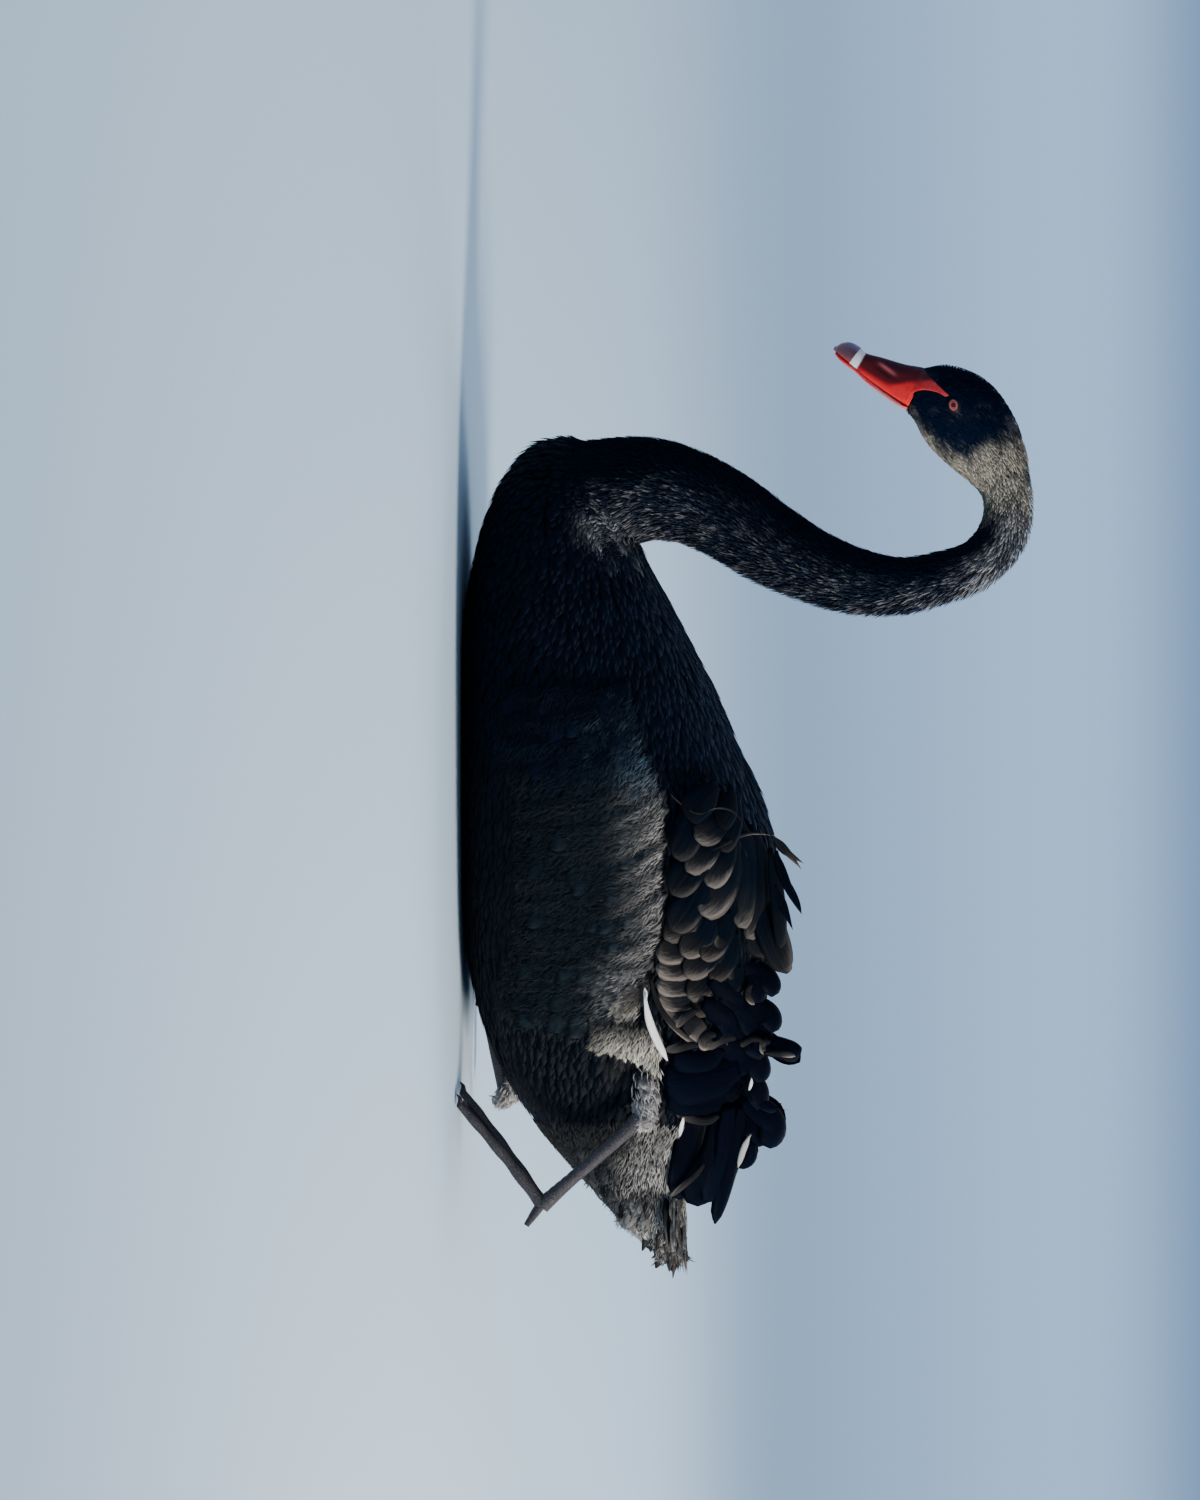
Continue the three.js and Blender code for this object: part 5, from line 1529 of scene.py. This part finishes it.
# name, tables with the outline of their feathers, material, colour of root and end
INNER = (
    ("wing_curls", ((CURLS, rounded), (TUBES, squared), (BIG, rounded), (DARK, pointed)), curl_vane,
     (0.0005, 0.0017, 0.0060), (0.000675, 0.002295, 0.0081)),
    ("wing_brown_edges", ((BROWN, rounded), (LOOSE, pointed)), brown_curl,
     (0.0085, 0.0090, 0.0115), (0.050, 0.043, 0.039)),
)
turns = np.random.default_rng(5)
for side in (1, -1):
    name = "left" if side > 0 else "right"
    for label, tables, material, dark, end in INNER:
        coat = Coat(f"{label}_{name}")
        for table, outline in tables:
            paths = wing_paths(side, table)
            n = len(paths)
            table = np.array(table)
            if side < 0:  # the far side is like, but not the same
                paths[:, 1:] += rng.normal(0, 1.6, (n, 3, 3)) * [0.6, 1, 1]
            outward = unit(np.array([side * 0.88, -0.1, 0.45]) + turns.normal(0, 0.05, (n, 3)))
            thick = np.where(table[:, 8] < 10, 0.3, 0.5)
            points = lay_path(LONG, paths, outward, table[:, 8], table[:, 9], thick, outline)
            shades = vane_tint(LONG, n, dark, end, 0.4)
            coat.add(LONG, points, shades, unwrap_of(paths[:, 0]), np.full(n, 0.9 * side))
        made = coat.make(material)
        if label == "wing_curls":
            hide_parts(f"wing_{name}")
    white_flight(side, name)

# %% Tail feathers
coat = Coat("tail_feathers")
n = 13
fan = np.linspace(-1, 1, n)
roots = np.stack([27 * fan, 286 - 8 * fan**2, 168 - 6 * fan**2], -1)
ways = unit(np.stack([0.42 * fan, np.ones(n), 0.035 - 0.06 * fan**2], -1))
tops = unit(np.stack([0.35 * fan, 0 * fan, np.ones(n)], -1))
tops = unit(tops - ways * np.sum(tops * ways, -1, keepdims=True))
raised_roots = roots + tops * (2.0 - 2.4 * np.abs(fan))[:, None]
points = lay(LARGE, raised_roots, tops, ways, 61 - 8 * fan**2, 19, lift=0.0, bend=0.05, arc=0.7, thick=0.5,
             outline=pointed)
shades = vane_tint(LARGE, n, (0.008, 0.0095, 0.0125), (0.033, 0.032, 0.032), 0.3)
coat.add(LARGE, points, shades, unwrap_of(roots), 0.5 * np.ones(n))
tail_made = coat.make(covert_vane)
over = Coat("tail_plumes")
along = np.tile([4, 12, 20, 28, 36], n) + rng.uniform(-2, 2, 5 * n)
near = np.repeat(np.arange(n), 5)
faces = wobble(tops[near], ways[near], 0.15)
spots = roots[near] + ways[near] * along[:, None] + faces * 2.2
spots = spots + np.cross(ways, tops)[near] * rng.uniform(-6, 6, (5 * n, 1))
dark, pale = np.tile([0.012, 0.0125, 0.014], (5 * n, 1)), np.tile([0.45, 0.455, 0.44], (5 * n, 1))
plumes(over, spots, faces, wobble(ways[near], faces, 0.2), 17, 9, dark, pale, barbs_each=50, lift=0.1,
       bend=-0.12, raised=0.3, hair=0.3, light=rump_light)
over.make(soft_barbs)
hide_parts("tail")

# %% [markdown]
# ## The bill
# The bill is two lofts with an edge where they shut, so that the mouth line is a real step. Its colour runs
# from crimson on the ridge to orange red at the edge: the crimson is painted shade over the bill's red, and
# the bright red climbs near the base. Pale pink painted highlights lie above the nostril and on the lower
# edge. A white band lies before the nail. The nostril is a hollow in the loft's own surface, painted dark
# inside as shade, and bare red skin reaches from the bill to the eye.

# %% Bill measures
BILL_BASE = np.array([0, -344.1, 349.4])
BILL_AHEAD = unit(np.array([0, -0.485, -0.875]))
BILL_UP = np.array([0, BILL_AHEAD[2], -BILL_AHEAD[1]])
BILL_LINE = [  # distance from the base, ridge, cutting edge, chin, half width
    (-9, 17.4, -14, -16, 12.4), (0, 18, -15.3, -17.6, 13.4), (14, 13.4, -14.3, -16.8, 12.8),
    (33, 9.2, -11.7, -14.1, 12.0), (45, 6.4, -8.9, -11, 12.4), (52, 7.8, -7.6, -10, 12.4),
    (60, 7.4, -6.2, -8.8, 10), (65.5, 3.8, -4.6, -6.6, 6.4), (68.3, -0.8, -3.6, -5, 2.4),
]
BAND_FROM, BAND_TO = 45.2, 50.2
NOSTRIL = 26  # its middle, from the base
bill_at = table_reader(BILL_LINE)
# reds with painted shade over the bill's red: shaded on the ridge, half shaded below it
SHADED_RED, HALF_SHADED_RED = np.array([0.045, 0.003, 0.010]), np.array([0.085, 0.0012, 0.005])
# the bill's own bright red, and the pale pink of its painted highlights
BRIGHT_RED, PINK_HIGHLIGHT = np.array([0.74, 0.016, 0.018]), np.array([0.60, 0.12, 0.115])


def on_bill(along, side, up):
    """Places given by distance along the bill, to its side and up from its axis."""
    spots = BILL_BASE + BILL_AHEAD * along[:, None] + BILL_UP * up[:, None]
    return spots + np.array([1.0, 0, 0]) * side[:, None]


def nostril(along, height, reach, half):
    """1 in the slit of the nostril, which rises a little forwards."""
    middle = 0.6 + 0.12 * (along - NOSTRIL)
    return np.exp(-(((along - NOSTRIL) / reach) ** 4) - ((height - middle) / half) ** 2)


def bill_section(along, angle, upper, grow=0.0):
    """One point of the upper or lower half. Angle 0 is the ridge, or the edge where the halves meet."""
    _, ridge, edge, chin, half = bill_at(along)
    low, high = (edge + 0.06, ridge) if upper else (chin, edge - 0.06)
    middle = low + (high - low) * (0.3 if upper else 0.65)
    up = np.cos(angle)
    rise = np.where(up > 0, high - middle, middle - low) + grow
    exponent = np.where(up > 0, 0.95, 0.26) if upper else np.where(up > 0, 0.26, 0.95)
    x = (half * (1 if upper else 0.95) + grow) * power(np.sin(angle), 0.8)
    height = middle + rise * power(up, exponent)
    if upper:  # a shallow trough runs beside the ridge, with the nostril in it
        trough = np.exp(-(((along - 25) / 17) ** 2) - ((height - 1.8) / 3.6) ** 2)
        x = x - np.sign(x) * np.minimum(np.abs(x), trough + 1.6 * nostril(along, height, 6.5, 1.1))
    return x, height


def bill_colour(along, height, upper):
    """Bright edge, painted shade towards the ridge; on the upper half the band, painted nostril shade and
    highlight.
    """
    climb = 14.5 * step(20, -2, along)  # near the base the bright red climbs towards the eye
    # the bill's bright red, darkened with painted shade towards the ridge
    red = step(0.85 * climb - 10.0, 0.85 * climb - 5.0, height)
    colour = mix(np.tile(BRIGHT_RED, (len(along), 1)), HALF_SHADED_RED, red)
    colour = mix(colour, SHADED_RED, step(0.6 * climb + 0.5, 0.6 * climb + 7.5, height))
    if upper:
        ragged = 0.7 * mottle(np.stack([along, height, 0 * along], -1), 3.0)
        band_end = BAND_TO + 0.16 * (6 - height)
        band = step(BAND_FROM - 0.8, BAND_FROM + 0.4, along + ragged) * step(band_end + 0.9, band_end, along)
        colour = mix(colour, np.array([0.80, 0.76, 0.77]), band)
        # painted shade in the nostril's hollow
        inner = np.clip(1.2 * nostril(along, height, 6.0, 0.9), 0, 0.9)
        colour = mix(colour, np.array([0.10, 0.006, 0.008]), inner)
        # a painted pink highlight on the ridge above the nostril
        over_ridge = (height - 3.4 - 0.14 * (along - 24)) / 1.3
        ridge_highlight = np.exp(-(((along - 24) / 8.0) ** 4) - over_ridge**2)
        colour = mix(colour, PINK_HIGHLIGHT, 0.75 * ridge_highlight)
        colour = mix(colour, np.array([0.30, 0.02, 0.03]), step(band_end + 0.4, band_end + 1.6, along))
    return colour


print("bill length:", BILL_LINE[-1][0] - BILL_LINE[1][0])


# %% Bare skin and horn materials
def horn_material(name, roughness, bump_scale, bump_distance, coat=0.3, gloss=0.5):
    """Tint from the mesh, fine cloudy unevenness and a waxy coat."""
    material, tree, shader, tint = tinted_material(name)
    cloud = cloudy(tree, object_place(tree), bump_scale, 4)
    feed(shader, {
        "Base Color": shaded(tree, tint, math_node(tree, "MULTIPLY_ADD", cloud, 0.5, 0.75)),
        "Normal": bumped(tree, cloud, bump_distance, 0.5), "Roughness": roughness,
        "Coat Weight": coat, "Coat Roughness": 0.2, "Specular IOR Level": gloss,
    })
    return material


def piece(name, bm, material, colours, slot, *nodes):
    """A smooth coloured object that rides on the bird; colours come in the order of the points."""
    bmesh.ops.recalc_face_normals(bm, faces=bm.faces[:])
    for face in bm.faces:
        face.smooth = True
    made = new_object(name, bm)
    store_colour(made.data, colours)
    made.data.materials.append(material)
    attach(made, "root")
    if nodes:
        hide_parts(*nodes)
    print(f"{name}: {sum(len(p.vertices) - 2 for p in made.data.polygons)} triangles")
    return made


def points_of(bm):
    """All points of a mesh in millimetres."""
    return np.array([v.co for v in bm.verts]) / MM


def bill_coordinates(bm):
    """Distance along and height up the bill of every point of a mesh."""
    co = points_of(bm) - BILL_BASE
    return co @ BILL_AHEAD, co @ BILL_UP


waxy = horn_material("waxy_red_bill", 0.45, 700, 0.0002, coat=0.02, gloss=0.16)
horn = horn_material("nail_horn", 0.3, 500, 0.0002, coat=0.5)
print("waxy skin and horn ready")


# %% Bill halves and nail
def half_loft(starts, to, upper, grow=0.0):
    """Half a bill from starts(angle) to a distance from the base."""
    bm = bmesh.new()

    def place(share, angle):
        start = starts(angle)
        along = start + (to - start) * (1 - (1 - share) ** 1.35)
        x, height = bill_section(along, angle, upper, grow)
        return on_bill(along, x, height)

    tube(bm, 84, 130, place)
    return bm


def inside_face(angle):
    """The halves start a little way inside the face."""
    return -4


upper = half_loft(inside_face, 68, True)
along, height = bill_coordinates(upper)
bill_top = piece("bill_upper_half", upper, waxy, bill_colour(along, height, True), "bill", "bill_upper")
lower = half_loft(inside_face, 66, False)
along, height = bill_coordinates(lower)
# painted pink highlight along the lower half's bottom edge
tone = mix(bill_colour(along, height - 3, False), PINK_HIGHLIGHT, 0.8 * step(-9, -13, height + 0.12 * along))
piece("bill_lower_half", lower, waxy, tone, "bill", "bill_lower")


def nail_edge(angle):
    """The nail starts at the band on the ridge and a little further out at the sides."""
    turn = np.abs((angle + math.pi) % math.tau - math.pi)
    return BAND_TO + 1.4 * (1 - np.cos(np.clip(turn * 1.1, 0, math.pi)))


nail = half_loft(nail_edge, 68.8, True, 0.35)
along, height = bill_coordinates(nail)
# painted reflection of the sky, in lilac, on the top of the nail
sky_reflection = step(1.5, 7, height) * step(65, 57, along)
tone = mix(np.tile([0.105, 0.012, 0.028], (len(along), 1)), np.array([0.17, 0.11, 0.19]), sky_reflection)
tone = mix(tone, np.array([0.35, 0.03, 0.03]), step(-1.5, -4.5, height))
piece("bill_nail_cap", nail, horn, tone, "nail", "bill_nail")

# %% Bare skin up to the eye
OUTSIDE = 60.0  # farther out than any point of the head
LORE_THICK = 0.0009
bill_tree = tree_of(bill_top.data)
cheek_line, brow_line = table_reader(LORE_CHEEK, False), table_reader(LORE_BROW, False)
bm = bmesh.new()
for side in (1, -1):
    verts = bmesh.ops.create_grid(bm, x_segments=44, y_segments=22, size=0.5)["verts"]
    share = np.array([v.co.x + 0.5 for v in verts])
    across = np.array([v.co.y + 0.5 for v in verts])
    low, high = cheek_line(share * 6).T, brow_line(share * 6).T
    yz = low + (high - low) * across[:, None]
    for vertex, (y, z), s, t in zip(verts, yz, share, across):
        start, inward = Vector((side * OUTSIDE, y, z)), Vector((-side, 0, 0))
        found = [tree.ray_cast(start, inward)[0] for tree in (skin_tree, bill_tree)]
        depth = max((abs(hit.x) for hit in found if hit is not None), default=8.0)
        rim = min(s, 1 - s, t, 1 - t)
        stand = (0.1 + 0.7 * min(rim / 0.12, 1) ** 0.5) * min(s / 0.35, 1) - 1.2 * (1 - min(s / 0.12, 1))
        vertex.co = Vector((side * (depth + stand), y, z)) * MM
for _ in range(5):
    bmesh.ops.smooth_vert(bm, verts=[v for v in bm.verts if not v.is_boundary], factor=0.5, use_axis_x=True)
bmesh.ops.solidify(bm, geom=bm.faces[:], thickness=LORE_THICK)
co = points_of(bm)
# painted pink highlight along the upper border of the bare skin
tone = mix(np.tile([0.58, 0.014, 0.016], (len(co), 1)), PINK_HIGHLIGHT, 0.16 * step(352, 366, co[:, 2]))
# painted shade on the front of the patch next to the forehead, darkest towards its top
shaded_side = step(-345.5, -352.5, co[:, 1] + 0.12 * np.clip(co[:, 2] - 352, 0, 12))
tone = mix(mix(tone, HALF_SHADED_RED, shaded_side), np.array([0.022, 0.002, 0.005]), shaded_side * step(352, 361, co[:, 2]))
along, height = bill_coordinates(bm)
tone = mix(tone, bill_colour(along, height, False), step(-6, 3, along))
tone *= (1 + 0.2 * mottle(co, 2.2))[:, None]
piece("bare_lore_skin", bm, waxy, np.clip(tone, 0, 1), "bill")

# %% [markdown]
# ## Eyes
# The eye is small and sits deep. A ball with a red iris and a dark pupil lies in the hollow, and a lid
# ring runs from the ball's face out to the skin: a thin salmon rim inside, black skin outside.

# %% Eye material
IRIS = (
    (0.33, (0.008, 0.003, 0.003)), (0.39, (0.36, 0.018, 0.012)), (0.50, (0.62, 0.06, 0.035)),
    (0.66, (0.42, 0.025, 0.018)), (0.78, (0.05, 0.005, 0.005)),
)
PUPIL, EYE_RIM = (0.008, 0.003, 0.003), (0.03, 0.004, 0.004)
eye_paint, tree, shader = new_material("wet_eye")
place = object_place(tree)
_, place_y, place_z = add_node(tree, "SeparateXYZ", {0: place}).outputs
off_y = math_node(tree, "MULTIPLY", math_node(tree, "SUBTRACT", place_y, EYE_Y * MM), 1000.0)
off_z = math_node(tree, "MULTIPLY", math_node(tree, "SUBTRACT", place_z, EYE_Z * MM), 1000.0)
squares = [math_node(tree, "POWER", off, 2.0) for off in (off_y, off_z)]
radius = math_node(tree, "SQRT", math_node(tree, "ADD", *squares))
outwards = math_node(tree, "MULTIPLY_ADD", radius, 0.2, -0.025)
fibrous = math_node(tree, "MULTIPLY_ADD", cloudy(tree, place, 900), 0.05, outwards)
ramp = add_node(tree, "ValToRGB", {"Fac": fibrous})
for stop, colour in zip(ramp.color_ramp.elements, (PUPIL, EYE_RIM)):
    stop.color = (*colour, 1)
for position, colour in IRIS:
    ramp.color_ramp.elements.new(position).color = (*colour, 1)
feed(shader, {
    "Base Color": ramp.outputs["Color"], "Roughness": 0.12, "Specular IOR Level": 0.25,
    "Coat Weight": 0.3, "Coat Roughness": 0.02,
})
print("eye ramp stops:", len(ramp.color_ramp.elements))

# %% Balls and lids
BALL, SUNK = 5.0, 3.4  # the ball's radius, and how deep its middle lies
LID_REACH, LID_THICK = 6.4, 0.0004
LID_SALMON, LID_BLACK = [0.44, 0.120, 0.100], np.array([0.004, 0.006, 0.010])
lid_skin = horn_material("lid_skin", 0.5, 1500, 0.00015, coat=0.03, gloss=0.12)
fan = np.arange(16) / 16 * math.tau
for side, name in ((1, "left"), (-1, "right")):
    ring = [side_spot(side, EYE_Y + 10 * math.cos(a), EYE_Z + 10 * math.sin(a)) for a in fan]
    out = unit(np.mean([face for _, face in ring], axis=0))
    centre = np.array([np.mean([spot[0] for spot, _ in ring]), EYE_Y, EYE_Z]) - out * SUNK
    bm = bmesh.new()
    bmesh.ops.create_uvsphere(bm, u_segments=48, v_segments=32, radius=BALL * MM)
    bmesh.ops.translate(bm, verts=bm.verts[:], vec=Vector(centre * MM))
    tone = np.tile([0.3, 0.02, 0.02], (len(bm.verts), 1))
    piece(f"eye_ball_{name}", bm, eye_paint, tone, "eye", f"eye_{name}")
    e1 = unit(np.array([0, 1.0, 0]) - out * out[1])
    e2 = np.cross(out, e1)
    bm = bmesh.new()

    def lid(share, angle):
        """A ring from the ball's face to the skin, highest in its middle."""
        inner_r = 2.2 + 0.8 * np.cos(angle - 0.2) ** 2 + 0.3 * np.clip(-np.cos(angle - 0.25), 0, 1) ** 6
        way = e1 * np.cos(angle)[:, None] + e2 * np.sin(angle)[:, None]
        on_ball = (np.sqrt(BALL**2 - inner_r**2) + 0.22)[:, None]
        inner = centre + way * inner_r[:, None] + out * on_ball
        edge = np.array([side_spot(side, p[1], p[2])[0] for p in centre + way * LID_REACH]) - out * 0.4
        swell = 0.6 * np.sin(np.clip(share * 1.15, 0, 1) * math.pi) ** 0.8
        return inner + (edge - inner) * share[:, None] + out * swell[:, None]

    grid = bmesh.ops.create_grid(bm, x_segments=14, y_segments=64, size=0.5)["verts"]
    share = np.array([v.co.x + 0.5 for v in grid])
    angle = np.array([(v.co.y + 0.5) * math.tau for v in grid])
    for vertex, p in zip(grid, lid(share, angle) * MM):
        vertex.co = p
    bmesh.ops.remove_doubles(bm, verts=bm.verts[:], dist=1e-6)
    bmesh.ops.recalc_face_normals(bm, faces=bm.faces[:])
    bmesh.ops.solidify(bm, geom=bm.faces[:], thickness=LID_THICK)
    co = points_of(bm)
    long_way = ((co[:, 1] - EYE_Y) + 0.2 * (co[:, 2] - EYE_Z)) / 1.32
    from_eye = np.hypot(long_way, co[:, 2] - EYE_Z - 0.2 * (co[:, 1] - EYE_Y)) + 0.3 * mottle(co, 1.2)
    tone = mix(np.tile(LID_SALMON, (len(co), 1)), LID_BLACK, step(2.95, 3.6, from_eye))
    piece(f"eye_lid_{name}", bm, lid_skin, tone, "eye")

# %% [markdown]
# ## Legs and feet
# The shanks carry rows of scutes and the webs fine creases. A toe is a limb loft with a swelling at each
# joint, ending in a short claw. Only the left heel and upper shank show in the photo; the rest follows the
# species.

# %% Scaled skin
scaled, tree, shader, tint = tinted_material("scaled_leg_skin")
cells = {"Vector": object_place(tree), "Scale": 480}
edges = add_node(tree, "TexVoronoi", cells, feature="DISTANCE_TO_EDGE").outputs["Distance"]
plates = math_node(tree, "MULTIPLY", edges, 5.0, clamp=True)
feed(shader, {
    "Base Color": shaded(tree, tint, math_node(tree, "MULTIPLY_ADD", plates, 0.7, 0.45)),
    "Normal": bumped(tree, plates, 0.0004, 0.6), "Roughness": 0.55, "Specular IOR Level": 0.25,
})
print("leg material nodes:", len(tree.nodes))

# %% Shanks, toes and webs
LEG, WEB = np.array([0.040, 0.036, 0.042]), np.array([0.026, 0.024, 0.028])
CLAW = np.array([0.012, 0.011, 0.012])
LEFT_SHANK = [
    (88, 220, 144, 6.6), (87.6, 236, 127.5, 5.4), (87, 254, 107, 5.0), (85.5, 273, 85, 5.2),
    (84, 290, 66, 6.4),
]
RIGHT_SHANK = [
    (-78, 209, 26, 6.2), (-79, 188, 20.5, 5.2), (-80, 164, 15, 4.8), (-82, 140, 11.5, 5.2),
    (-84, 118, 9, 6.2),
]
# ankle, tip of the middle toe, and how far the toes spread
LEFT_FOOT = ((84, 288, 66), (74, 202, 3.5), 0.26)
RIGHT_FOOT = ((-84, 120, 8), (-98, 24, 3.5), 0.22)
TOE_LEVEL = 3.5
# how far along a toe, and its radius there
JOINTS = (
    (0, 6), (0.12, 4.8), (0.28, 5.2), (0.42, 4.1), (0.55, 4.6), (0.7, 3.7), (0.82, 4.1), (0.92, 3.4),
    (1, 3.0),
)
# how far before the tip, how high over it, and the radius of a claw
CLAW_LINE = ((-2, 0, 2.4), (2, 0.9, 2.0), (5, 0.2, 1.3), (7.5, -1.8, 0.4))


def closed_sheet(bm, columns, rows, place):
    """A thin closed sheet: place(across 0..1, along 0..1, face -1..1) gives each point."""
    form = blade_mesh(bm, columns, rows)
    across = np.array([(v.co.x + 1) / 2 for v in form])
    along = np.array([(v.co.y + 1) / 2 for v in form])
    face = np.array([v.co.z for v in form])
    for vertex, p in zip(form, place(across, along, face) * MM):
        vertex.co = p


for name, shank_line, (ankle, toes, spread) in (
    ("left", LEFT_SHANK, LEFT_FOOT), ("right", RIGHT_SHANK, RIGHT_FOOT)
):
    bm = bmesh.new()

    def scuted(share, angle):
        """A shank with broad scutes in front and small scales behind."""
        facing = np.cos(angle / 2) ** 2
        broad = np.abs(np.sin(math.pi * 17 * share)) ** 0.5 * facing
        small = 0.4 * (1 - facing) * np.abs(np.sin(math.pi * 30 * share + 3 * angle)) ** 0.6
        return limb_point(shank_line, share, angle, 0.55 * (broad + small) - 0.25)

    tube(bm, 40, 150, scuted)
    co = points_of(bm)
    tone = LEG * (1 + 0.25 * mottle(co, 5.0))[:, None]
    piece(f"shank_skin_{name}", bm, scaled, tone, "leg", f"shank_{name}")

    bm = bmesh.new()
    ankle, toes = np.array(ankle, float), np.array(toes, float)
    reach = toes - ankle
    length = np.linalg.norm(reach)
    tips = []
    for i in (-1, 0, 1):
        tip = ankle + reach * (1 if i == 0 else 0.9) + np.array([i * length * spread, 0, 0])
        tip[2] = TOE_LEVEL
        tips.append(tip)
        line = []
        for share, radius in JOINTS:
            p = ankle + (tip - ankle) * share
            p[2] = max(TOE_LEVEL, p[2] + 1.5 * math.sin(share * math.pi))
            line.append((*p, radius))

        def toe(share, angle):
            """A toe with creases on its upper side."""
            creases = np.abs(np.sin(math.pi * 34 * share)) ** 0.6 * (np.cos(angle) < 0.3)
            return limb_point(line, share, angle, 0.35 * creases - 0.2)

        tube(bm, 20, 80, toe)
        ahead = unit(np.array([tip[0] - ankle[0], tip[1] - ankle[1], 0]))
        claw = [(*(tip + ahead * before + [0, 0, up]), radius) for before, up, radius in CLAW_LINE]
        tube(bm, 14, 16, lambda s, a: limb_point(claw, s, a))

    def web(u, v, face):
        """Skin between the toes, which sags and has a scalloped edge."""
        from_ = np.clip((u * 2).astype(int), 0, 1)
        t = (u * 2 - from_)[:, None]
        ends = np.array(tips)
        edge = ends[from_] * (1 - t) + ends[from_ + 1] * t
        scallop = 1 - 0.12 * (1 - (2 * t[:, 0] - 1) ** 2)
        p = ankle + (edge - ankle) * (0.06 + (0.97 * scallop - 0.06) * v)[:, None]
        sag = (1 - (2 * t[:, 0] - 1) ** 2) * v
        level = np.maximum(p[:, 2] - 3.0 * sag, 1.6 + 1.6 * (1 - sag))
        p[:, 2] = level + 0.5 * face + 0.18 * np.sin(u * 90) * v
        return p

    closed_sheet(bm, 48, 36, web)
    back = ankle - reach * 0.2
    back[2] = max(3.0, ankle[2] - 12)
    hind = [(*ankle, 4), (*(ankle * 0.5 + back * 0.5), 3.4), (*back, 2.2)]
    tube(bm, 14, 24, lambda s, a: limb_point(hind, s, a))
    for vertex in bm.verts:
        vertex.co.z = max(vertex.co.z, 0.0002)
    co = points_of(bm)
    off_line, past_tip = [], []
    for tip in tips:
        way, far = unit(tip - ankle), np.linalg.norm(co - tip, axis=1) > 12
        off_line.append(np.linalg.norm(np.cross(co - ankle, way), axis=1))
        past_tip.append((co - ankle) @ way - np.linalg.norm(tip - ankle) - 8 * far)
    tone = mix(np.tile(LEG * 0.85, (len(co), 1)), WEB, step(3.5, 7.5, np.min(off_line, axis=0)))
    tone = mix(tone, CLAW, step(1.0, 2.2, np.max(past_tip, axis=0)))
    tone = tone * (1 + 0.2 * mottle(co, 6.0))[:, None]
    piece(f"foot_skin_{name}", bm, scaled, tone, "leg", f"foot_{name}")

# %% Sizes and finish
low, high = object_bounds()
